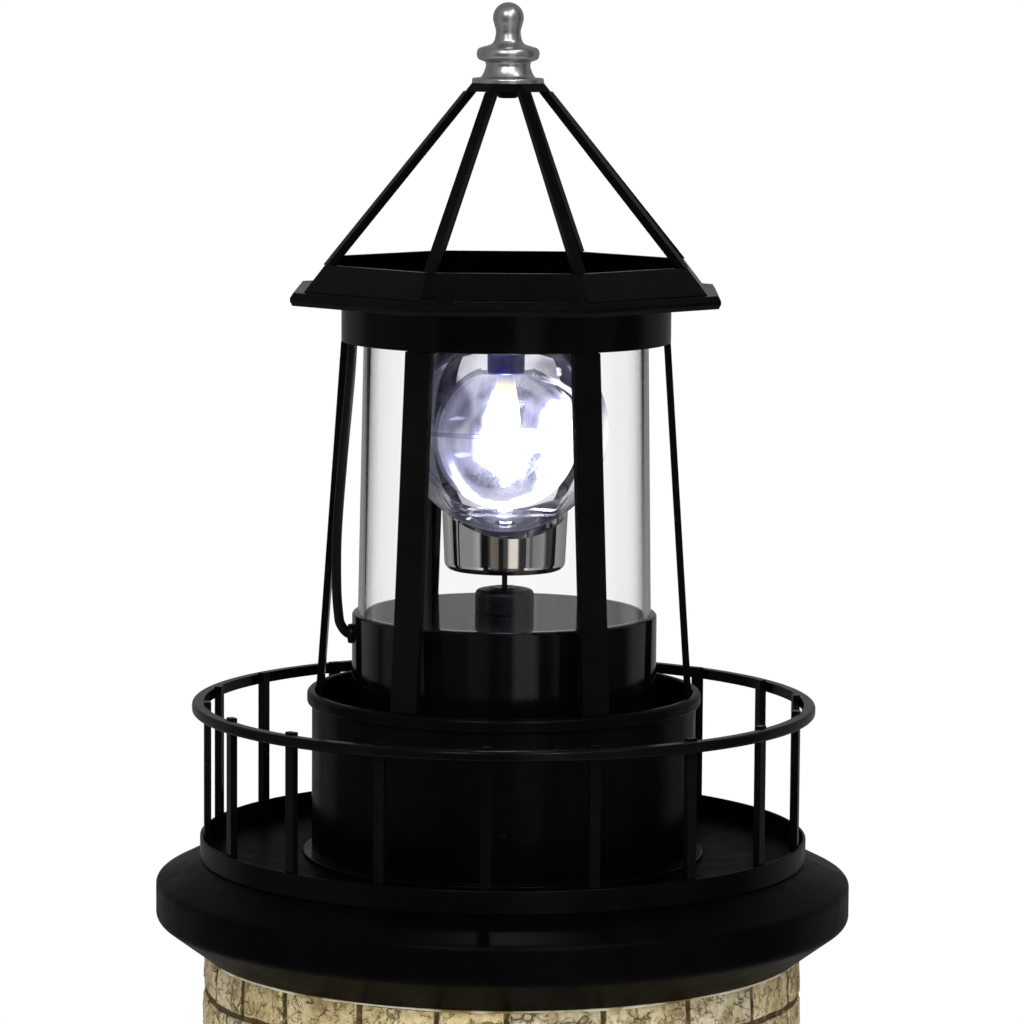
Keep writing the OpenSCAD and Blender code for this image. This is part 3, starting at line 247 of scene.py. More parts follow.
def stone_material():
    """Cast stone: cream, grey and tan blocks with pits, fine dark cracks and thin dark brown joints, and a
    painted cream highlight along the rounded edge of each stone.
    """
    g = Graph("cast_stone")
    tone = g.add("ShaderNodeAttribute", attribute_name="tone").outputs["Fac"]
    joint = g.add("ShaderNodeAttribute", attribute_name="joint").outputs["Fac"]
    blotch = g.noise(75.0, 6.0, 0.65)
    pits = g.noise(520.0, 6.0, 0.7)
    warm = g.ramp(blotch, [(0.30, (0.24, 0.155, 0.055)), (0.42, (0.48, 0.36, 0.165)),
                           (0.53, (0.62, 0.505, 0.26)), (0.70, (0.70, 0.60, 0.345))])
    cold = g.ramp(blotch, [(0.30, (0.27, 0.21, 0.11)), (0.42, (0.50, 0.42, 0.26)),
                           (0.53, (0.62, 0.55, 0.37)), (0.70, (0.71, 0.65, 0.475))])
    color = g.mix(g.span(tone, 0.0, 1.0, 0.25, 0.75), warm, cold)
    color = g.mix(0.75, color, g.ramp(pits, [(0.30, PIT_TONE), (0.56, WHITE)]), "MULTIPLY")
    color = g.mix(g.span(g.noise(160.0, 4.0), 0.0, 0.6, 0.55, 0.68), color, STAIN_BROWN)
    line = g.span(g.cracks(150.0, g.warped(120.0, 0.011)), 1.0, 0.0, 0.0, 0.06)
    line = g.times(line, g.span(g.noise(110.0, 3.0), 0.0, 1.0, 0.50, 0.58))
    color = g.mix(g.times(line, 0.80), color, CRACK_BROWN)
    # painted highlight: lighter cream on the ring of points just inside each joint
    edge_highlight = g.times(g.span(joint, 0.0, 1.0, 0.10, 0.30), g.span(joint, 1.0, 0.0, 0.30, 0.50))
    color = g.mix(g.times(edge_highlight, g.span(g.noise(130.0), 0.2, 0.9)), color, EDGE_HIGHLIGHT_CREAM)
    grime = g.math("ADD", joint, g.span(g.noise(300.0, 4.0), -0.30, 0.30))
    color = g.mix(g.span(grime, 0.0, 1.0, 0.20, 0.72), color, JOINT_BROWN)
    swirl = g.noise(170.0, 6.0, 0.62)
    folds = g.math("ABSOLUTE", g.math("SUBTRACT", swirl, 0.5))
    groove = g.span(folds, 0.0, 1.0, 0.0, 0.011)
    color = g.mix(g.times(g.math("SUBTRACT", 1.0, groove), 0.50), color, FOLD_BROWN)
    height = g.mix(0.45, g.noise(210.0, 8.0, 0.68), pits)
    height = g.mix(0.35, height, groove)
    height = g.mix(line, height, (0.10, 0.10, 0.10))
    return g.material(color, 0.72, g.bump(height, 1.0, 0.0016), Specular_IOR_Level=0.30)


def cement_material():
    g = Graph("cement_bed")
    color = g.ramp(g.noise(90.0, 5.0), [(0.38, (0.20, 0.14, 0.05)), (0.48, (0.50, 0.44, 0.30)),
                                        (0.62, (0.66, 0.62, 0.50))])
    return g.material(color, 0.9, g.bump(g.noise(600.0), 0.5, 0.0005), Specular_IOR_Level=0.2)


def plank_material():
    """Weathered brown boards, with the grain running up."""
    g = Graph("door_planks")
    grain = g.noise(180.0, 6.0, 0.65, stretch=(1, 1, 0.08))
    color = g.ramp(grain, [(0.32, (0.020, 0.011, 0.005)), (0.55, (0.055, 0.032, 0.015)),
                           (0.72, (0.085, 0.055, 0.028))])
    return g.material(color, 0.7, g.bump(grain, 0.5, 0.0008), Specular_IOR_Level=0.25)


def pane_material():
    """Dark moulded window panes with a slight wave."""
    g = Graph("window_pane")
    color = g.ramp(g.noise(120.0), [(0.3, (0.012, 0.014, 0.016)), (0.7, (0.025, 0.028, 0.030))])
    return g.material(color, 0.12, g.bump(g.noise(60.0), 0.15, 0.001), Specular_IOR_Level=0.5)


LED_GLOW = 45.0                  # the strength of the LED's own emission


def lamp_material():
    """The lit LED: a cold white flame below, and its dull body above."""
    g = Graph("led_glow")
    lo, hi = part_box("led_lamp")
    share = g.span(g.along(g.coord, Z_AXIS), 0.0, 1.0, lo[2], hi[2])
    share = g.math("ADD", share, g.span(g.noise(200.0), -0.03, 0.03))
    color = g.ramp(share, [(0.0, (0.80, 0.86, 1.0)), (0.52, (0.95, 0.97, 1.0)), (0.57, (0.026, 0.023, 0.014)),
                           (0.72, (0.020, 0.016, 0.006)), (0.84, (0.0016, 0.0016, 0.0030))])
    return g.material((0.5, 0.5, 0.52), 0.3, glow=color, Emission_Strength=LED_GLOW)


def panel_material():
    """Dark solar cells under clear resin, with thin silver fingers."""
    g = Graph("solar_cells")
    brick = g.add("ShaderNodeTexBrick")
    brick.offset = 0.0
    settings = {"Scale": 1.0, "Mortar Size": 0.0003, "Brick Width": 0.014, "Row Height": 0.0018,
                "Color1": (0.006, 0.009, 0.03, 1), "Color2": (0.008, 0.012, 0.04, 1),
                "Mortar": (0.10, 0.11, 0.14, 1)}
    for key, value in settings.items():
        brick.inputs[key].default_value = value
    g.link(g.coord, brick.inputs["Vector"])
    return g.material(brick.outputs["Color"], g.span(g.noise(200.0), 0.14, 0.22), Coat_Weight=0.6,
                      Coat_Roughness=0.05)


# Soft ovals on the dish, as [right, up, half width, half height] in mm from the middle of its mouth, with a
# level where it isn't 1: where the lamp's light is painted on as glare, where painted shade dims it, and where
# fine cracks show
GLARE = [(0.3, 3.0, 4.9, 8.0), (0.6, 9.0, 3.7, 6.5), (0.8, 14.0, 1.7, 5.5), (0.7, -3.8, 8.6, 7.4),
         (1.9, -11.0, 3.0, 3.6), (7.5, -1.5, 8.0, 3.8), (17.8, 1.6, 5.6, 12.0), (14.5, -10.5, 4.0, 4.6),
         (-12.6, 5.4, 2.6, 0.6, 0.7), (-10.5, -5.5, 4.2, 0.8, 0.45), (9.0, 6.0, 1.4, 5.0, 0.35)]
SHADE = [(13.5, 18.0, 6.5, 6.0, 0.36), (-16.5, 13.0, 3.6, 5.5, 0.30), (-5.6, 9.0, 1.0, 9.5, 0.10),
         (6.2, 9.0, 1.2, 7.5, 0.16)]
CRACKED = [(5.6, 9.5, 2.2, 7.5), (-1.5, -12.6, 7.5, 2.2), (10.0, -9.5, 2.0, 3.4)]
WARM_TIP = (0.8, 16.2, 2.6, 4.6)  # where the glare turns yellow
DISH_EDGE = (0.55, 1.45)         # shares of an oval's half width where it begins to fade and is gone
GLARE_LEVEL = 1.5                # the strength of the dish's own emission, which paints the glare on it
PAINTED_RING_BAND = (14.1, 16.5)          # mm, the painted bright ring of glare that the rim shows below
RIM_SHIFT = 4.0                  # mm, how far the ring's centre lies under the mouth's
DISH_BACK = (0.012, 0.012, 0.018)
BEAM_BEARING = math.radians(8.0)  # from the front towards +X
BEAM_OUT = (math.sin(BEAM_BEARING), -math.cos(BEAM_BEARING), 0.0)
BEAM_RIGHT = (math.cos(BEAM_BEARING), math.sin(BEAM_BEARING), 0.0)
MIRROR_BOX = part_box("beam_mirror")
DISH_R = 21.0                    # mm


def face_coordinates(g, place):
    """Where a place lies across the beam's mouth, as right and up in mm."""
    middle = MIRROR_BOX[1][2] - DISH_R * MM
    flat = g.add("ShaderNodeCombineXYZ")
    g.link(g.along(place, BEAM_RIGHT), flat.inputs["X"])
    g.link(g.math("SUBTRACT", g.along(place, Z_AXIS), middle), flat.inputs["Y"])
    return g.vector("MULTIPLY", flat.outputs["Vector"], (1 / MM, 1 / MM, 0.0))


def oval(g, face, edge, u, v, wide, tall, level=1.0):
    """A soft oval, at its level inside and fading to nothing between the two shares of edge."""
    shrink = (1 / wide, 1 / tall, 0.0)
    far = g.vector("DISTANCE", g.vector("MULTIPLY", face, shrink), (u / wide, v / tall, 0.0))
    return g.span(far, level, 0.0, *edge, smooth=True)


def ovals(g, face, edge, spots):
    """Several soft ovals as one, each place with the brightest of them."""
    value = oval(g, face, edge, *spots[0])
    for spot in spots[1:]:
        value = g.math("MAXIMUM", value, oval(g, face, edge, *spot))
    return value


def dish_material():
    """Bright plating, with the glare of the lamp's light that it throws painted on as its own glow, a violet
    fringe and dimmer streaks in that painted glow. Its back is dark."""
    g = Graph("mirror_plating_painted_glare")
    face = face_coordinates(g, g.warped(150.0, 0.0028))
    out = g.length(g.vector("ADD", face, (0.0, RIM_SHIFT, 0.0)))
    ring = g.times(g.span(out, 0.0, 1.0, PAINTED_RING_BAND[0] - 1.0, PAINTED_RING_BAND[0] + 1.0, smooth=True),
                   g.span(out, 1.0, 0.0, PAINTED_RING_BAND[1] - 0.6, PAINTED_RING_BAND[1] + 1.4, smooth=True))
    low = g.span(g.along(face, Y_AXIS), 1.0, 0.0, -12.0, -3.0, smooth=True)
    # painted glare: the ovals and the low ring, given off as emission
    glare = g.math("MAXIMUM", ovals(g, face, DISH_EDGE, GLARE), g.times(ring, low))
    streak = g.noise(230.0, 4.0, 0.6, stretch=(1, 1, 0.25))
    # painted haze of glow round the glare, lowered by the painted shade spots
    painted_haze = g.math("ADD", g.span(streak, 0.24, 0.40, 0.32, 0.68), g.span(g.noise(95.0, 3.0), -0.08, 0.08))
    for spot in SHADE:
        painted_haze = g.math("SUBTRACT", painted_haze, oval(g, face, DISH_EDGE, *spot))
    glare = g.math("ADD", g.times(glare, 0.75), painted_haze)
    line = g.span(g.cracks(420.0, g.warped(300.0, 0.006)), 1.0, 0.0, 0.02, 0.09)
    line = g.times(line, ovals(g, face, DISH_EDGE, CRACKED))
    glare = g.math("SUBTRACT", glare, g.times(line, 0.55))
    color = g.ramp(glare, [(0.0, (0.010, 0.010, 0.016)), (0.14, (0.045, 0.045, 0.07)),
                           (0.30, (0.105, 0.104, 0.138)), (0.46, (0.175, 0.175, 0.25)),
                           (0.56, (0.17, 0.17, 0.46)), (0.68, (0.48, 0.52, 0.90)), (0.80, WHITE)])
    tip = g.times(oval(g, face, DISH_EDGE, *WARM_TIP), g.span(glare, 0.0, 0.85, 0.55, 0.75))
    color = g.mix(tip, color, (1.0, 0.80, 0.36))
    outward = g.add("ShaderNodeTexCoord").outputs["Normal"]
    hollow_side = g.span(g.along(outward, BEAM_OUT), 0.0, 1.0, -0.02, 0.06)
    color = g.mix(hollow_side, DISH_BACK, color)
    return g.material((0.22, 0.22, 0.25), g.span(streak, 0.12, 0.3), glow=color, Metallic=1.0,
                      Emission_Strength=GLARE_LEVEL)


# Soft ovals on the globe, as on the dish: painted dark reflections, small painted glints and the beam's painted
# right edge
DARK_REFLECTIONS = [(-19.5, 13.0, 7.0, 7.5), (16.5, 20.5, 9.5, 5.5), (-24.0, -9.0, 5.0, 8.0)]
GLINTS = [(12.0, 20.9, 0.8, 0.6), (13.0, -25.2, 0.45, 0.45), (-12.0, -21.0, 0.5, 0.4)]
BEAM_EDGE = (27.6, 2.0, 2.0, 9.5)
GLOBE_EDGE = (0.45, 1.3)
# Thin painted highlight arcs, as [least radius, largest radius, where they begin, fade and end upwards] in mm
ARCS = [(21.1, 21.9, 14.0, 16.2, 20.4), (19.6, 20.1, 12.6, 14.4, 16.2)]


def globe_material():
    """Clear plastic with the beam's light painted on: painted shade on its dull side away from the beam, a
    painted pale violet glow low down and painted glints.
    """
    g = Graph("globe_clear")
    face = face_coordinates(g, g.warped(60.0, 0.004))
    right, up = g.along(face, X_AXIS), g.along(face, Y_AXIS)
    # painted shade: the clear plastic is tinted darker away from the beam's side and under the painted dark
    # reflections
    lit_share = g.math("ADD", g.span(right, 0.0, 1.0, -30.0, 6.0, smooth=True),
                   g.span(g.noise(90.0, 4.0), -0.16, 0.16))
    for spot in DARK_REFLECTIONS:
        lit_share = g.math("SUBTRACT", lit_share, g.times(oval(g, face, GLOBE_EDGE, *spot), 0.75))
    shade_tint = g.ramp(lit_share, [(0.0, (0.30, 0.30, 0.35)), (0.35, (0.74, 0.74, 0.80)), (0.7, (0.95, 0.95, 0.975)),
                          (1.0, (0.975, 0.975, 0.99))])
    # painted glow, given off as emission: pale violet low down and in a faint veil
    low = g.times(g.span(up, 1.0, 0.0, -27.0, -17.0, smooth=True), g.span(g.noise(80.0), 0.3, 0.9))
    veil = g.span(g.noise(120.0, 4.0, stretch=(1, 1, 0.4)), 0.0, 0.8, 0.44, 0.74)
    color = g.ramp(g.math("MAXIMUM", veil, low), [(0.0, ZERO), (0.5, (0.030, 0.030, 0.052)),
                                                 (1.0, (0.15, 0.15, 0.23))])
    # painted highlight along the beam's right edge
    edge = g.times(oval(g, face, GLOBE_EDGE, *BEAM_EDGE), 0.8)
    color = g.mix(edge, color, (0.85, 0.85, 0.95))
    # painted glints and highlight arcs, on the half ahead of the beam only
    painted_glints = ovals(g, face, GLOBE_EDGE, GLINTS)
    from_middle = g.length(face)
    right_side = g.math("GREATER_THAN", right, 0.0)
    for r0, r1, z0, z1, z2 in ARCS:
        band = g.math("COMPARE", from_middle, (r0 + r1) / 2)
        band.node.inputs[2].default_value = (r1 - r0) / 2
        part = g.times(g.span(up, 0.0, 1.0, z0, z1), g.span(up, 1.0, 0.0, z1 + 0.6 * (z2 - z1), z2))
        arc = g.times(g.times(band, part), right_side)
        painted_glints = g.math("MAXIMUM", painted_glints, arc)
    ahead = g.math("GREATER_THAN", g.along(g.coord, BEAM_OUT), 0.0)
    color = g.mix(g.times(painted_glints, ahead), color, (1.8, 1.8, 1.9))
    normal = g.bump(g.noise(14.0, 2.0), 0.05, 0.001)
    return g.material(shade_tint, g.span(g.noise(60.0, 5.0), 0.0, 0.02), normal, color, Transmission_Weight=1.0,
                      IOR=1.49, Emission_Strength=0.6, Specular_Tint=(0.6, 0.6, 0.65, 1.0))


# Paints and plastics: darkest and lightest tone, roughness, specular level, then the grain's fineness and depth
DRUM_BLACK = painted("drum_paint", (0.0012, 0.0012, 0.0013), (0.0020, 0.0020, 0.0022), 0.24, 0.036, bump=0.05)
BLACK = painted("black_paint", (0.0014, 0.0014, 0.0015), (0.0026, 0.0026, 0.0028), 0.20, 0.07, bump=0.05)
TRAY_BLACK = painted("tray_paint", (0.0008, 0.0008, 0.0009), (0.0015, 0.0015, 0.0017), 0.42, 0.012)
ROOF_BLACK = painted("roof_paint", (0.0014, 0.0014, 0.0016), (0.0027, 0.0027, 0.0031), 0.24, 0.070, 700.0, 0.07)
SLAB = painted("slab_paint", (0.0007, 0.0007, 0.0007), (0.0015, 0.0015, 0.0015), 0.36, 0.028, 420.0, 0.10,
               fold=0.0014)
PLASTIC = painted("black_plastic", (0.0016, 0.0016, 0.0030), (0.0028, 0.0028, 0.0052), 0.25, 0.15, 1200.0, 0.06)
GLOSS = painted("glossy_black", (0.0014, 0.0014, 0.0018), (0.0024, 0.0024, 0.0030), 0.07, 0.24, 300.0, 0.02)
# the LED holder: dark blue plastic, lighter blue where the LED's light is painted on it
HOLDER_AND_GLOW = painted("holder_plastic_painted_glow", (0.010, 0.010, 0.045), (0.07, 0.07, 0.30), 0.20, 0.30, 900.0, 0.05)
RUBBER = painted("lead_jacket", (0.002, 0.002, 0.002), (0.004, 0.004, 0.004), 0.38, 0.10, 1500.0, 0.05)
SATIN = metal("satin_silver", (0.47, 0.47, 0.475), 0.34, 0.0, (1, 1, 22))
STEEL = metal("plated_steel", (0.55, 0.55, 0.57), 0.28)
CHROME = metal("chrome", (0.80, 0.79, 0.78), 0.03, 0.0)
BRASS = metal("brass", (0.72, 0.55, 0.25), 0.25)
IRON = metal("door_iron", (0.05, 0.048, 0.045), 0.45, 0.2, (1, 1, 1), 500.0)
TUBE = tube_material()
GLOBE = globe_material()
NYLON = painted("nylon", (0.62, 0.59, 0.50), (0.70, 0.67, 0.58), 0.45, 0.4, 800.0, 0.08)
GREY = painted("grey_plastic", (0.09, 0.09, 0.09), (0.13, 0.13, 0.13), 0.55, 0.4, 500.0, 0.2)
RED = painted("red_plastic", (0.45, 0.02, 0.02), (0.58, 0.03, 0.03), 0.3, 0.5, 900.0, 0.06)
GREEN = painted("cell_sleeve", (0.04, 0.22, 0.10), (0.06, 0.30, 0.14), 0.3, 0.5, 500.0, 0.04)
BOARD = painted("solder_mask", (0.02, 0.13, 0.06), (0.03, 0.18, 0.08), 0.3, 0.5, 700.0, 0.1)
STONE = stone_material()
CEMENT = cement_material()
PLANKS = plank_material()
PANE = pane_material()
LAMP = lamp_material()
PANEL = panel_material()
MIRROR = dish_material()

# Each material, with the CAD nodes that it goes on
FINISHES = [
    (GREY, "base_plate"),
    (STEEL, "base_plate_screws slab_screws gear_plate_screws idler_pin motor base_cover_screws "
            "battery_contacts"),
    (SLAB, "gallery_slab"), (TRAY_BLACK, "gallery_tray"), (DRUM_BLACK, "toe_board lantern_drum"),
    (BLACK, "railing_posts railing_rail drum_screws cage_posts cage_band"),
    (ROOF_BLACK, "eave_plate roof_skirt roof_ribs roof_cap finial_screw"), (SATIN, "finial"),
    (PLASTIC, "solar_housing bearing_cap base_cover battery_holder switch_body"), (PANEL, "solar_panel"),
    (HOLDER_AND_GLOW, "led_holder"), (LAMP, "led_lamp"), (TUBE, "clear_tube"), (GLOSS, "lamp_base beacon_shaft"),
    (BRASS, "shaft_bush"), (NYLON, "gear_plate drive_gear idler_gear motor_pinion"), (GREEN, "battery_cells"),
    (BOARD, "circuit_board"), (RUBBER, "lead_grommet"), (CHROME, "bright_cup"),
    (GLOBE, "globe_lower globe_upper"), (MIRROR, "beam_mirror"), (RED, "switch_slider"),
]
for mat, names in FINISHES:
    for name in names.split():
        for mat_slot in nodes[name].material_slots:
            mat_slot.material = mat


# ------------------------ making pieces
def make_piece(name, verts, faces, material, body=ROOT, sharp=None):
    """A piece from points in mm, smooth apart from its folds sharper than an angle in degrees."""
    me = bpy.data.meshes.new(name)
    me.from_pydata([tuple(c * MM for c in v) for v in verts], [], faces)
    me.shade_smooth()
    if sharp:
        me.set_sharp_from_angle(angle=math.radians(sharp))
    me.materials.append(material)
    o = bpy.data.objects.new(name, me)
    scene.collection.objects.link(o)
    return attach(o, body)


def sweep(path, r, sides):
    """A closed tube of radius r along a path, with rings that don't twist."""
    path = [Vector(p) for p in path]
    tangents = [(path[min(i + 1, len(path) - 1)] - path[max(i - 1, 0)]).normalized() for i in range(len(path))]
    u = tangents[0].orthogonal().normalized()
    verts = []
    for p, t in zip(path, tangents):
        u = (u - t * u.dot(t)).normalized()
        v = t.cross(u)
        for k in range(sides):
            a = 2 * math.pi * k / sides
            verts.append(p + (u * math.cos(a) + v * math.sin(a)) * r)
    faces = []
    for i in range(len(path) - 1):
        for k in range(sides):
            n = (k + 1) % sides
            faces.append((i * sides + k, i * sides + n, (i + 1) * sides + n, (i + 1) * sides + k))
    faces.append(tuple(reversed(range(sides))))
    faces.append(tuple(range((len(path) - 1) * sides, len(path) * sides)))
    return verts, faces


def at_bearing(bearing, r, z):
    """A point on a bearing, counted in degrees from the front towards +X."""
    b = math.radians(bearing)
    return Vector((r * math.sin(b), -r * math.cos(b), z))


# ------------------------ stone tower
TOWER_H = 641.0
TOP_R = 86.4
TAPER = 0.035                    # what the radius gains per mm down
FOOT_H = 30.0
FOOT_STEP = 8.0
FOOT_SIDES = 180
FOOT_WOBBLE = 0.5                # mm, how far its cast face wanders
COURSES = 52
COURSE_H = (TOWER_H - FOOT_H) / COURSES
STONES_ROUND = 22
STONE_SEED = 41
STONE_EDGE = 0.55                # mm, the first step of a stone's mesh in from its side
STONE_PITCH = 2.2                # mm, the steps further in
EDGE_SHARES = (0.0, 0.62, 0.95)  # how full a stone stands on its outer rings of points
JOINT_SHARES = (1.0, 0.30, 0.0)  # how much of the joint's colour those rings take
JOINT_D = 1.2                    # the stones' outermost points lie this far back
JOINT_GAP = 0.42                 # half a joint's width
CORE_D = 0.95                    # the mortar lies this far behind the stones' faces
CORE_ROWS, CORE_COLS = 176, 150
BED_STEPS = 240
RECESS_D = 2.9                   # the door and the windows lie this far behind the stones' faces
SURROUND_W = 5.0
SURROUND_OUT = 1.6
BLOCK_GAP = 0.28                 # half the gap between the surrounds' blocks
JAMB_H = 11.0                    # about the height of a block beside an opening
OPENING_SEED = 7
# Bearings of the upright joints of the top course, where the photograph shows them
TOP_JOINTS = [-71.0, -58.0, -44.5, -27.0, -12.0, 1.0, 19.0, 37.0, 55.0, 72.0]
# [bearing, sill height, clear width, clear height] of the door and the windows
DOOR = (0.0, FOOT_H + SURROUND_W, 42.0, 82.0)
WINDOWS = [(bearing, sill, 18.0, 34.0)
           for bearing, sill in ((0.0, 205.0), (0.0, 405.0), (-90.0, 305.0), (90.0, 305.0))]


def wall_r(z):
    return TOP_R + (TOWER_H - z) * TAPER


def in_opening(bearing, z, grow):
    """Whether a place on the wall lies in the door or a window, grown all round."""
    for centre, sill, w, h in [DOOR] + WINDOWS:
        turn = math.radians((bearing - centre + 180) % 360 - 180)
        if abs(turn) > 1.0 or not sill - grow < z < sill + h + grow:
            continue
        x = abs(wall_r(z) * math.sin(turn))
        spring = sill + h - w / 2
        if z <= spring and x < w / 2 + grow:
            return True
        if z > spring and math.hypot(x, z - spring) < w / 2 + grow:
            return True
    return False


def course_joints(course, rng):
    """Bearings of the upright joints of one course, all the way round."""
    if course == COURSES - 1:
        rest = STONES_ROUND - len(TOP_JOINTS) + 1
        span = 360 + TOP_JOINTS[0] - TOP_JOINTS[-1]
        more = [TOP_JOINTS[-1] + span * (i + rng.uniform(-0.15, 0.15)) / rest for i in range(1, rest)]
        return TOP_JOINTS + more
    pitch = 360 / STONES_ROUND
    start = (course % 2) * pitch / 2 + rng.uniform(-2.5, 2.5)
    return [start + (i + rng.uniform(-0.2, 0.2)) * pitch for i in range(STONES_ROUND)]


def course_z(course, bearing):
    """Height of the joint under a course, which isn't quite level."""
    z = FOOT_H + course * COURSE_H
    if course in (0, COURSES):
        return z
    b = math.radians(bearing)
    return z + 1.1 * noise.noise((2.2 * math.sin(b), 2.2 * math.cos(b), course * 0.73))


def grid_steps(length):
    """Places along a stone's side, as shares of it: close together at its rounded edges."""
    inner = max(2, round((length - 4 * STONE_EDGE) / STONE_PITCH))
    ring = [0.0, STONE_EDGE / length, 2.2 * STONE_EDGE / length]
    inside = [ring[2] + (1 - 2 * ring[2]) * i / inner for i in range(1, inner)]
    return ring + inside + [1 - s for s in reversed(ring)]


def stone_faces():
    """Each stone is a cushion with rounded edges and a rough face, and isn't quite square."""
    rng = random.Random(STONE_SEED)
    noise.seed_set(STONE_SEED)       # noise_vector's offsets come from it, and from the clock without it
    verts, faces, tones, joints = [], [], [], []
    rise = grid_steps(COURSE_H)
    for course in range(COURSES):
        bearings = course_joints(course, rng)
        middle = FOOT_H + (course + 0.5) * COURSE_H
        gap = math.degrees(JOINT_GAP / wall_r(middle))
        for i, b0 in enumerate(bearings):
            b1 = bearings[(i + 1) % len(bearings)]
            b1 += 360 if b1 <= b0 else 0
            b0, b1 = b0 + gap * rng.uniform(0.8, 1.6), b1 - gap * rng.uniform(0.8, 1.6)
            low, high = JOINT_GAP * rng.uniform(0.8, 1.7), JOINT_GAP * rng.uniform(0.8, 1.7)
            lift, tone = rng.uniform(-0.25, 0.15), rng.random()
            tilt_b, tilt_z = rng.uniform(-0.2, 0.2), rng.uniform(-0.2, 0.2)
            across = grid_steps(math.radians(b1 - b0) * wall_r(middle))
            wide = len(across)
            first = len(verts)
            for v, t in enumerate(rise):
                for u, s in enumerate(across):
                    b = b0 + (b1 - b0) * s
                    z0, z1 = course_z(course, b) + low, course_z(course + 1, b) - high
                    z = z0 + (z1 - z0) * t
                    p = at_bearing(b, wall_r(z), z)
                    wave = noise.noise_vector(p * 0.16) * 0.9
                    rough = 0.42 * noise.noise(p * 0.33 + Vector((0, 0, 9))) + 0.22 * noise.noise(p * 1.1)
                    face_out = lift + tilt_b * (s - 0.5) * 2 + tilt_z * (t - 0.5) * 2 + rough
                    ring = min(u, v, wide - 1 - u, len(rise) - 1 - v, 2)
                    share = EDGE_SHARES[ring]
                    out = -JOINT_D * (1 - share) + min(face_out, 0.3) * share
                    shift = math.degrees(wave.x * 0.55 / wall_r(z))
                    z = min(max(z + wave.z * 0.5, FOOT_H), TOWER_H)
                    verts.append(at_bearing(b + shift, wall_r(z) + out, z))
                    tones.append(tone)
                    joints.append(JOINT_SHARES[ring])
            for v in range(len(rise) - 1):
                for u in range(wide - 1):
                    a = first + v * wide + u
                    quad = (a, a + 1, a + wide + 1, a + wide)
                    centre = sum((verts[k] for k in quad), Vector()) / 4
                    bearing = math.degrees(math.atan2(centre.x, -centre.y))
                    if not in_opening(bearing, centre.z, SURROUND_W * 0.45):
                        faces.append(quad)
    return verts, faces, tones, joints


def core_faces():
    """The mortar between the stones, closed by the foot below and by the slab above."""
    verts, faces = [], []
    for v in range(CORE_ROWS + 1):
        z = FOOT_H - 1 + (TOWER_H - FOOT_H + 1) * v / CORE_ROWS
        for u in range(CORE_COLS):
            bearing = u * 360 / CORE_COLS
            p = at_bearing(bearing, wall_r(z), z)
            verts.append(at_bearing(bearing, wall_r(z) - CORE_D + 0.25 * noise.noise(p * 0.4), z))
    for v in range(CORE_ROWS):
        z = FOOT_H + (TOWER_H - FOOT_H) * (v + 0.5) / CORE_ROWS
        for u in range(CORE_COLS):
            if not in_opening((u + 0.5) * 360 / CORE_COLS, z, SURROUND_W * 0.45):
                a, b = v * CORE_COLS + u, v * CORE_COLS + (u + 1) % CORE_COLS
                faces.append((a, b, b + CORE_COLS, a + CORE_COLS))
    return verts, faces


def ring_faces(steps, n):
    """The faces between the outlines, of n points each, that stand round a closed ring."""
    return [(u * n + k, (u + 1) % steps * n + k, (u + 1) % steps * n + (k + 1) % n, u * n + (k + 1) % n)
            for u in range(steps) for k in range(n)]


def revolve(profile, steps, wobble=0.0):
    """A closed ring of revolution from a closed outline of [radius, height] points."""
    verts = []
    for u in range(steps):
        b = u * 360 / steps
        for r, z in profile:
            p = at_bearing(b, r, z)
            verts.append(at_bearing(b, r - wobble * abs(noise.noise(p * 0.12)) if wobble else r, z))
    return verts, ring_faces(steps, len(profile))


def cement_bed():
    """A thin, uneven line of cement that stands out under the slab."""
    verts = []
    for u in range(BED_STEPS):
        bearing = u * 360 / BED_STEPS
        b = math.radians(bearing)
        thick = max(0.15, 0.75 + 0.7 * noise.noise((3 * math.sin(b), 3 * math.cos(b), 2.0)))
        top, low = TOWER_H - 0.02, TOWER_H - thick
        outline = [(TOP_R - 3, top), (TOP_R + 0.25, top), (TOP_R + 0.45, TOWER_H - thick * 0.5),
                   (TOP_R + 0.2, low), (TOP_R - 3, low)]
        verts += [at_bearing(bearing, r, z) for r, z in outline]
    return verts, ring_faces(BED_STEPS, len(outline))


def foot_outline():
    """The plain foot, with the rebate for the base plate inside it."""
    out_r = wall_r(FOOT_H) + FOOT_STEP
    in_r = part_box("base_plate")[1][0] / MM + 0.3
    plate_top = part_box("base_plate")[1][2] / MM + 0.1
    slope = [(out_r - 0.4 + 0.4 * math.cos(a), 22 + 1.2 * math.sin(a)) for a in (0.0, 0.5, 1.0, 1.4)]
    sides = [(out_r, z) for z in (1.6, 4, 8, 12, 16, 20)]
    bevel = [(out_r - 1.6, 0.0), (out_r - 0.5, 0.45)]
    top_r = wall_r(FOOT_H) - CORE_D - 1
    top = [(out_r - 3.6, 25.6), (wall_r(FOOT_H), FOOT_H - 0.6), (top_r, FOOT_H + 0.2),
           (top_r - 6, FOOT_H + 0.2)]
    return [(in_r - 5, plate_top), (in_r, plate_top), (in_r, 0.0)] + bevel + sides + slope + top


def between(first, last, steps):
    return [first + (last - first) * k / steps for k in range(steps + 1)]


def arc_points(x, z, r, angles):
    """Points round a centre, at angles counted from its right."""
    return [(x + r * math.cos(a), z + r * math.sin(a)) for a in angles]


def arch_line(w, h, steps):
    """Half-round headed outline, up the right side and down the left, from the sill."""
    return [(w / 2, 0.0)] + arc_points(0, h - w / 2, w / 2, between(0, math.pi, steps)) + [(-w / 2, 0.0)]


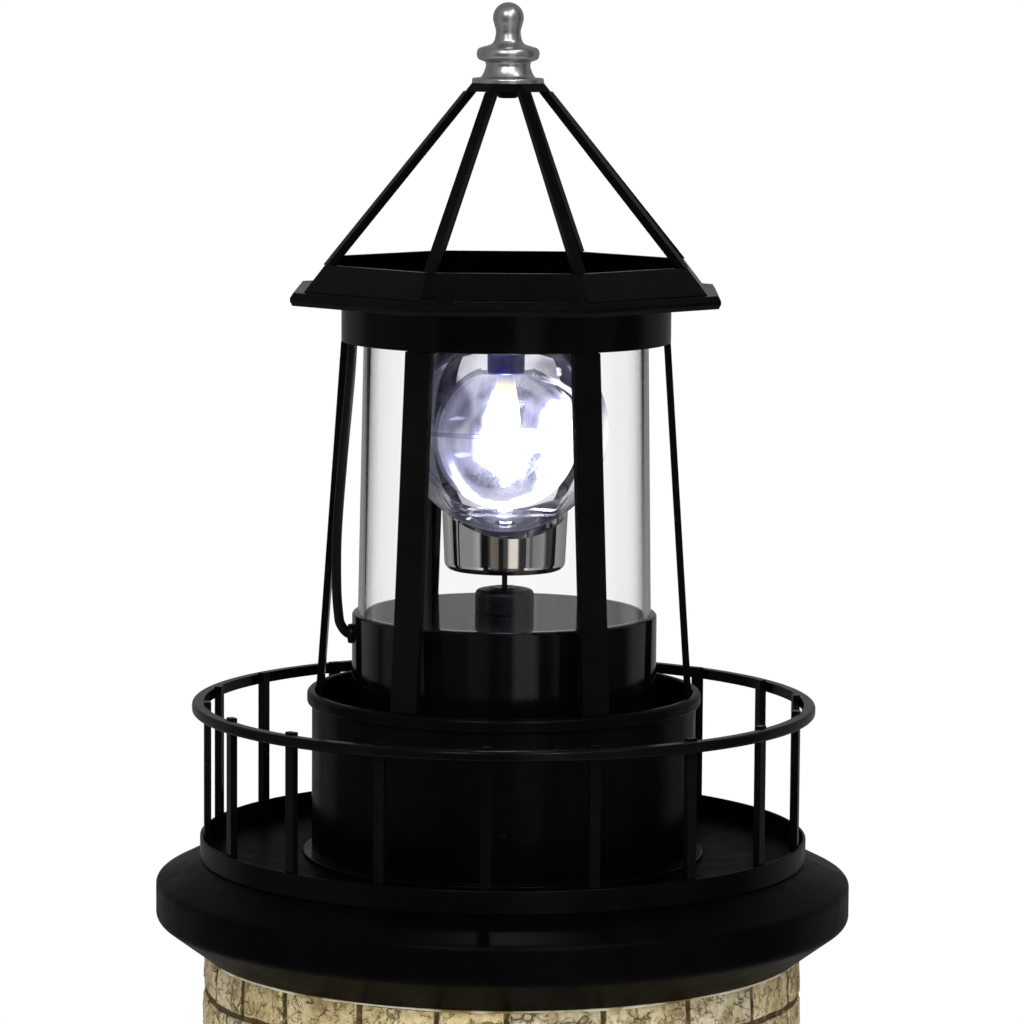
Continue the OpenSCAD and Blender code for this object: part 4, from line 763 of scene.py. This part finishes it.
class Parts:
    """Collects plates that stand on the wall at a bearing into one mesh."""

    def __init__(self):
        self.verts, self.faces = [], []

    def plate(self, bearing, outline, r0, r1, bevel=0.35, rough=0.0):
        """A plate with a bevelled face: an outline of [across, height] points from radius r0 out to r1."""
        n = len(outline)
        cx = sum(p[0] for p in outline) / n
        cz = sum(p[1] for p in outline) / n
        b = math.radians(bearing)
        first = len(self.verts)
        for r, inset in ((r0, 0.0), (r1 - bevel, 0.0), (r1, bevel)):
            for x, z in outline:
                far = math.hypot(x - cx, z - cz) or 1.0
                x2, z2 = x - (x - cx) / far * inset * 1.3, z - (z - cz) / far * inset * 1.3
                depth = r + (rough * noise.noise((x2 * 0.3, z2 * 0.3, bearing)) if r > r0 else 0.0)
                self.verts.append((depth * math.sin(b) + x2 * math.cos(b),
                                   -depth * math.cos(b) + x2 * math.sin(b), z2))
        for row in (0, 1):
            for k in range(n):
                a, c = first + row * n + k, first + row * n + (k + 1) % n
                self.faces.append((a, c, c + n, a + n))
        self.faces.append(tuple(first + 2 * n + k for k in range(n)))
        self.faces.append(tuple(first + k for k in reversed(range(n))))

    def tube(self, path, r, sides):
        first = len(self.verts)
        verts, faces = sweep(path, r, sides)
        self.verts += verts
        self.faces += [tuple(first + k for k in f) for f in faces]


def surround_blocks(parts, opening, rng):
    """The cut stones round a door or a window: a sill, two jambs and an arch of wedges."""
    bearing, sill, w, h = opening
    spring = sill + h - w / 2
    back = wall_r(sill) - RECESS_D - 1.2
    front = wall_r(sill) + SURROUND_OUT
    inner, outer = w / 2, w / 2 + SURROUND_W

    def block(outline):
        parts.plate(bearing, outline, back, front - rng.uniform(0.0, 0.35), 0.55, 0.25)

    low, top = sill - SURROUND_W, sill - BLOCK_GAP
    block([(-outer, low), (outer, low), (outer, top), (-outer, top)])
    count = max(2, round((spring - sill) / JAMB_H))
    for side in (-1, 1):
        for i in range(count):
            z0 = sill + (spring - sill) * i / count + BLOCK_GAP
            z1 = sill + (spring - sill) * (i + 1) / count - BLOCK_GAP
            edge = outer - (0.0 if i % 2 else 0.5)
            corners = [(inner, z0), (edge, z0), (edge, z1), (inner, z1)]
            block([(side * x, z) for x, z in (corners if side > 0 else reversed(corners))])
    wedges = 9 if opening is DOOR else 5
    for i in range(wedges):
        a0 = math.pi * i / wedges + BLOCK_GAP / inner / 2
        a1 = math.pi * (i + 1) / wedges - BLOCK_GAP / inner / 2
        far = arc_points(0, spring, outer - 0.3 * (i % 2), between(a0, a1, 3))
        block(far + arc_points(0, spring, inner, between(a1, a0, 3)))


def arch_height(x, w, h):
    return h - w / 2 + math.sqrt(max(0.0, (w / 2) ** 2 - x * x))


def set_stone(piece, tone, joint):
    """Gives a piece's points the tone and the share of a joint that their material reads, as one number for
    all or a list."""
    for name, values in (("tone", tone), ("joint", joint)):
        if not isinstance(values, list):
            values = [values] * len(piece.data.vertices)
        layer = piece.data.attributes.new(name, "FLOAT", "POINT")
        layer.data.foreach_set("value", values)


def build_tower():
    verts, faces, tones, joints = stone_faces()
    stones = make_piece("tower_stones", verts, faces, STONE)
    set_stone(stones, tones, joints)
    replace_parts(stones, "tower")

    verts, faces = core_faces()
    core = make_piece("tower_mortar", verts, faces, STONE)
    set_stone(core, 0.0, 0.8)
    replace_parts(core, "tower")

    verts, faces = revolve(foot_outline(), FOOT_SIDES, FOOT_WOBBLE)
    foot = make_piece("tower_foot", verts, faces, STONE, sharp=50)
    set_stone(foot, 0.6, 0.0)
    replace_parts(foot, "tower")

    verts, faces = cement_bed()
    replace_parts(make_piece("cement_bed", verts, faces, CEMENT), "tower")


DOOR_BOARDS = 5
STUD_R = 0.8
PULL_R = 2.6                     # the ring that the door is pulled by
GLAZING_W = 1.3                  # the bars of the windows


def add_door(boards, iron, outline, back):
    """Upright boards on a backing, with two straps, their studs and a ring."""
    bearing, sill, w, h = DOOR
    boards.plate(bearing, outline, back - 3, back - 0.6, 0.1)
    for i in range(DOOR_BOARDS):
        x0, x1 = -w / 2 + w * i / DOOR_BOARDS + 0.2, -w / 2 + w * (i + 1) / DOOR_BOARDS - 0.2
        top = [(x, sill + arch_height(x, w, h) - 0.3) for x in between(x1, x0, 4)]
        boards.plate(bearing, [(x0, sill + 0.3), (x1, sill + 0.3)] + top, back - 2, back + 0.7, 0.4, 0.15)
    for share in (0.2, 0.66):
        z = sill + h * share
        strap = [(-w / 2 + 1.5, z - 1.4), (w / 2 - 12, z - 1.0), (w / 2 - 9, z), (w / 2 - 12, z + 1.0),
                 (-w / 2 + 1.5, z + 1.4)]
        iron.plate(bearing, strap, back, back + 1.3, 0.25)
        for x in (-w / 2 + 4, -w / 2 + 12, -w / 2 + 20):
            stud = arc_points(x, z, STUD_R, [a * math.pi / 4 for a in range(8)])
            iron.plate(bearing, stud, back + 1.0, back + 1.8, 0.35)
    pull = arc_points(w / 2 - 7, sill + h * 0.43, PULL_R, [a * math.pi / 10 for a in range(21)])
    iron.tube([at_bearing(bearing, back + 1.3, 0) + Vector((x, 0, z)) for x, z in pull], 0.45, 8)


def add_window(bars, panes, outline, back, opening):
    """A dark pane behind three upright and three level bars."""
    bearing, sill, w, h = opening
    half = GLAZING_W / 2
    panes.plate(bearing, outline, back - 3, back - 0.2, 0.1)
    boxes = []
    for x in (-w / 2 + half, 0.0, w / 2 - half):
        top = sill + arch_height(abs(x) + (0 if x == 0 else half), w, h)
        boxes.append((x - half, x + half, sill + 0.2, top))
    for z in (sill + GLAZING_W, sill + h * 0.36, sill + h - w / 2):
        boxes.append((-w / 2 + 0.2, w / 2 - 0.2, z - half, z + half))
    for x0, x1, z0, z1 in boxes:
        bars.plate(bearing, [(x0, z0), (x1, z0), (x1, z1), (x0, z1)], back - 1, back + 0.8, 0.25)


def build_openings():
    rng = random.Random(OPENING_SEED)
    blocks, boards, iron, bars, panes = (Parts() for _ in range(5))
    for opening in [DOOR] + WINDOWS:
        surround_blocks(blocks, opening, rng)
        sill, w, h = opening[1:]
        back = wall_r(sill + h / 2) - RECESS_D
        outline = [(x, sill + z) for x, z in arch_line(w + 1, h + 0.5, 14)]
        if opening is DOOR:
            add_door(boards, iron, outline, back)
        else:
            add_window(bars, panes, outline, back, opening)
    for part, name, mat in ((blocks, "opening_surrounds", STONE), (boards, "door_leaf", PLANKS),
                            (iron, "door_iron", IRON), (bars, "window_bars", PLASTIC),
                            (panes, "window_panes", PANE)):
        piece = make_piece(name, part.verts, part.faces, mat, sharp=40)
        if mat is STONE:
            set_stone(piece, 0.85, 0.0)
        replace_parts(piece, "tower")


build_tower()
build_openings()

# ------------------------ the lead beside the clear tube
LEAD_R = 1.4
LEAD_SIDES = 20
LEAD_RUN_R = 44.5                # its distance from the axis in the collar of the solar housing
LEAD_SLACK_R = 47.4              # and beside the tube, where it hangs a little slack
LEAD_STEPS = 8                   # of the curve, from each point to the next
Z_DECK = 739.0
Z_COLLAR = 829.95
Z_BOARD = 696.2
BOARD_T = 1.6


def lead_route():
    """The route's points, as [bearing, radius, height] in mm, and a smooth curve through them."""
    grommet_z = Z_DECK - 6
    board_top = Z_BOARD + BOARD_T
    fall, slack = Z_COLLAR - Z_DECK, LEAD_SLACK_R
    points = [(-78, LEAD_RUN_R, Z_COLLAR + 0.6), (-78, LEAD_RUN_R, Z_COLLAR - 5 * LEAD_R),
              (-78, slack - 2, Z_DECK + 0.75 * fall), (-79, slack, Z_DECK + 0.49 * fall),
              (-80, slack + LEAD_R, Z_DECK + 0.26 * fall), (-81, slack + LEAD_R, Z_DECK + 0.09 * fall),
              (-82.5, slack + LEAD_R / 2, Z_DECK), (-83.5, slack, grommet_z + 2 * LEAD_R),
              (-84, slack - 2, grommet_z + 0.2), (-84, 43, grommet_z),
              (-84, 38.5, grommet_z), (-84, 33, grommet_z - 6), (-86, 26, Z_BOARD + 18),
              (-88, 20, Z_BOARD + 8), (-88, 19.5, board_top + 3), (-88, 19.5, board_top + 0.3)]
    p = [at_bearing(*q) for q in points]
    route = []
    for i in range(len(p) - 1):
        a, b, c, d = p[max(i - 1, 0)], p[i], p[i + 1], p[min(i + 2, len(p) - 1)]
        for s in range(LEAD_STEPS):
            t = s / LEAD_STEPS
            route.append(0.5 * (2 * b + t * (c - a) + t * t * (2 * a - 5 * b + 4 * c - d)
                                + t * t * t * (3 * b - a - 3 * c + d)))
    return route + [p[-1]]


verts, faces = sweep(lead_route(), LEAD_R, LEAD_SIDES)
lead = make_piece("lead", verts, faces, RUBBER, sharp=60)
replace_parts(lead, "solar_lead")


# ------------------------ the turned finial
BALL_R = 4.4
BALL_STEPS = 14
FINIAL_SIDES = 96
# [radius in mm, share of the height, rounding in mm] up to the neck under the ball
TURNED = [(10.3, 0.0, 0), (10.3, 0.06, 0.6), (7.7, 0.07, 0.5), (6.9, 0.13, 0.6), (6.3, 0.21, 0.4),
          (6.5, 0.26, 0.4), (8.6, 0.29, 0.8), (9.1, 0.36, 0.8), (8.6, 0.43, 0.8), (4.6, 0.48, 0.8),
          (3.9, 0.53, 0.4), (3.5, 0.62, 0.6), (3.6, 0.66, 0)]


def softened(points, steps=4):
    """An outline of [radius, height, rounding] points with its corners rounded."""
    line = []
    for i, (r, z, soft) in enumerate(points):
        here = Vector((r, z))
        if soft <= 0 or i in (0, len(points) - 1):
            line.append(here)
            continue
        before, after = Vector(points[i - 1][:2]), Vector(points[i + 1][:2])
        a = here + (before - here).normalized() * min(soft, (before - here).length * 0.45)
        b = here + (after - here).normalized() * min(soft, (after - here).length * 0.45)
        line += [a.lerp(here, k / steps).lerp(here.lerp(b, k / steps), k / steps) for k in range(steps + 1)]
    return line


def build_finial():
    lo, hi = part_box("finial")
    foot, h = lo[2] / MM, (hi[2] - lo[2]) / MM
    turned = [(min(r, hi[0] / MM - 0.02), share * h, soft) for r, share, soft in TURNED]
    line = [Vector((0.02, 0.0))] + softened(turned)
    for k in range(1, BALL_STEPS + 1):
        a = math.radians(-28 + 118 * k / BALL_STEPS)
        line.append(Vector((max(0.02, BALL_R * math.cos(a)), h - BALL_R + BALL_R * math.sin(a))))
    verts, faces = revolve([(p.x, foot + p.y) for p in line], FINIAL_SIDES)
    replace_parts(make_piece("turned_finial", verts, faces, SATIN, sharp=45), "finial")


build_finial()


# ------------------------ stage and light
# What reflections see round the room, as [degrees from the front towards +X, level, warmth]
STUDIO = [(-180, 0.32, 0.0), (-160, 0.24, 0.0), (-142, 0.24, 0.0), (-126, 0.38, 0.0), (-112, 0.20, 0.0),
          (-107, 0.05, 0.0), (-100, 0.30, 0.02), (-64, 0.30, 0.02), (-50, 0.46, 0.0), (-45, 0.03, 0.0),
          (-29, 0.03, 0.0), (-25, 0.20, 0.25), (-13, 0.16, 0.3), (-10, 0.012, 0.0), (-4, 0.012, 0.0),
          (-1, 0.07, 0.0), (5, 0.07, 0.0), (9, 0.95, 0.15), (23, 0.95, 0.18), (27, 0.02, 0.0), (34, 0.02, 0.0),
          (39, 0.20, 0.0), (46, 0.26, 0.0), (50, 0.04, 0.0), (56, 0.22, 0.05), (77, 0.34, 0.0), (85, 0.05, 0.0),
          (103, 0.04, 0.0), (114, 0.36, 0.0), (140, 0.26, 0.0), (160, 0.24, 0.0), (180, 0.32, 0.0)]
TO_FRONT = (0.0, -1.0, 0.0)
FLOOR_SIZE = 60.0                # m, from its middle to its sides
FLOOR_LIFT = 0.12                # what the floor adds to its own shade for the camera
NEAR, FAR = 0.7, 2.0             # m, where the floor's own shade ends and the white begins
WORLD_LEVEL = 0.42               # what the world gives to diffuse surfaces


def studio_light(g):
    """What a ray meets far out: the room with its panels and dark gaps in a reflection, white straight from
    the camera or through clear plastic, and plain grey otherwise. Also whether it is such a straight ray."""
    path = g.add("ShaderNodeLightPath")
    reflected = g.math("GREATER_THAN", path.outputs["Glossy Depth"], 0.5)
    straight = g.math("MAXIMUM", path.outputs["Is Camera Ray"], path.outputs["Is Transmission Ray"])
    turn = g.math("ARCTAN2", g.along(g.coord, X_AXIS), g.along(g.coord, TO_FRONT))
    stops = [((at + 180) / 360, (level, level * (1 - 0.4 * warm), level * (1 - warm)))
             for at, level, warm in STUDIO]
    room = g.ramp(g.span(turn, 0.0, 1.0, -math.pi, math.pi), stops)
    return g.mix(reflected, g.mix(straight, (WORLD_LEVEL,) * 3, WHITE), room), straight


def floor_material():
    """A pale floor that keeps the shadow, and goes over into the white backdrop further out."""
    g = Graph("pale_floor")
    studio, straight = studio_light(g)
    tone = g.ramp(g.noise(3.0), [(0.3, (0.78, 0.78, 0.78)), (0.7, (0.80, 0.80, 0.80))])
    diffuse = g.add("ShaderNodeBsdfDiffuse")
    g.link(tone, diffuse.inputs["Color"])
    lift = g.add("ShaderNodeEmission")
    g.link(g.mix(straight, ZERO, (FLOOR_LIFT,) * 3), lift.inputs["Color"])
    near = g.add("ShaderNodeAddShader")
    g.link(diffuse.outputs[0], near.inputs[0])
    g.link(lift.outputs[0], near.inputs[1])
    backdrop = g.add("ShaderNodeEmission")
    g.link(studio, backdrop.inputs["Color"])
    total = g.add("ShaderNodeMixShader")
    g.link(g.span(g.length(g.coord), 0.0, 1.0, NEAR, FAR, smooth=True), total.inputs[0])
    g.link(near.outputs[0], total.inputs[1])
    g.link(backdrop.outputs[0], total.inputs[2])
    return g.surface(total.outputs[0])


def build_floor():
    bm = bmesh.new()
    bmesh.ops.create_grid(bm, x_segments=1, y_segments=1, size=FLOOR_SIZE)
    me = bpy.data.meshes.new("floor")
    bm.to_mesh(me)
    bm.free()
    me.materials.append(floor_material())
    floor = bpy.data.objects.new("floor", me)
    scene.collection.objects.link(floor)


def build_world():
    g = Graph("studio", "worlds", "Generated")
    background = g.add("ShaderNodeBackground")
    g.link(studio_light(g)[0], background.inputs["Color"])
    out = g.add("ShaderNodeOutputWorld")
    g.link(background.outputs[0], out.inputs["Surface"])
    scene.world = g.owner


build_floor()
build_world()


def area(name, at, target, size, power, mirrored=True):
    """A round lamp, which reflections and clear plastic show only if it is mirrored."""
    data = bpy.data.lights.new(name, "AREA")
    data.shape = "DISK"
    data.size = size
    data.energy = power
    o = bpy.data.objects.new(name, data)
    o.location = at
    o.rotation_euler = (Vector(target) - Vector(at)).to_track_quat("-Z", "Y").to_euler()
    o.visible_glossy = o.visible_transmission = mirrored
    scene.collection.objects.link(o)


LANTERN = (0, 0, 0.75)
TOWER = (0, 0, 0.5)
area("front_left", (-0.62, -1.85, 2.15), LANTERN, 0.42, 15.0)
area("front_right", (0.62, -1.85, 2.15), LANTERN, 0.42, 15.0)
area("high_right", (1.25, -1.15, 2.75), LANTERN, 0.34, 8.0)
area("low_left", (-0.95, -1.25, 0.34), TOWER, 0.45, 8.0, mirrored=False)
area("low_right", (0.95, -1.25, 0.34), TOWER, 0.45, 6.5, mirrored=False)

LED_POWER = 0.16                 # W
LED_COLOR = (0.82, 0.84, 1.0)
LED_SIZE = 0.004                 # m


def build_led_light():
    """The lit LED's own light, which reaches the metal round it through the clear parts. It stands in front of
    the LED, which it doesn't light, and isn't seen itself."""
    lo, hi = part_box("led_lamp")
    data = bpy.data.lights.new("led_light", "POINT")
    data.energy = LED_POWER
    data.color = LED_COLOR
    data.shadow_soft_size = LED_SIZE
    light = bpy.data.objects.new("led_light", data)
    light.location = (0.0, lo[1] - 0.001, (lo[2] * 2 + hi[2]) / 3)
    light.visible_camera = light.visible_transmission = False
    scene.collection.objects.link(light)
    spared = bpy.data.collections.new("spared")
    spared.objects.link(nodes["led_lamp"])
    for member in spared.collection_objects:
        member.light_linking.link_state = "EXCLUDE"
    light.light_linking.receiver_collection = spared
    for name in ("clear_tube", "globe_lower", "globe_upper", "led_lamp"):
        nodes[name].visible_shadow = False


build_led_light()
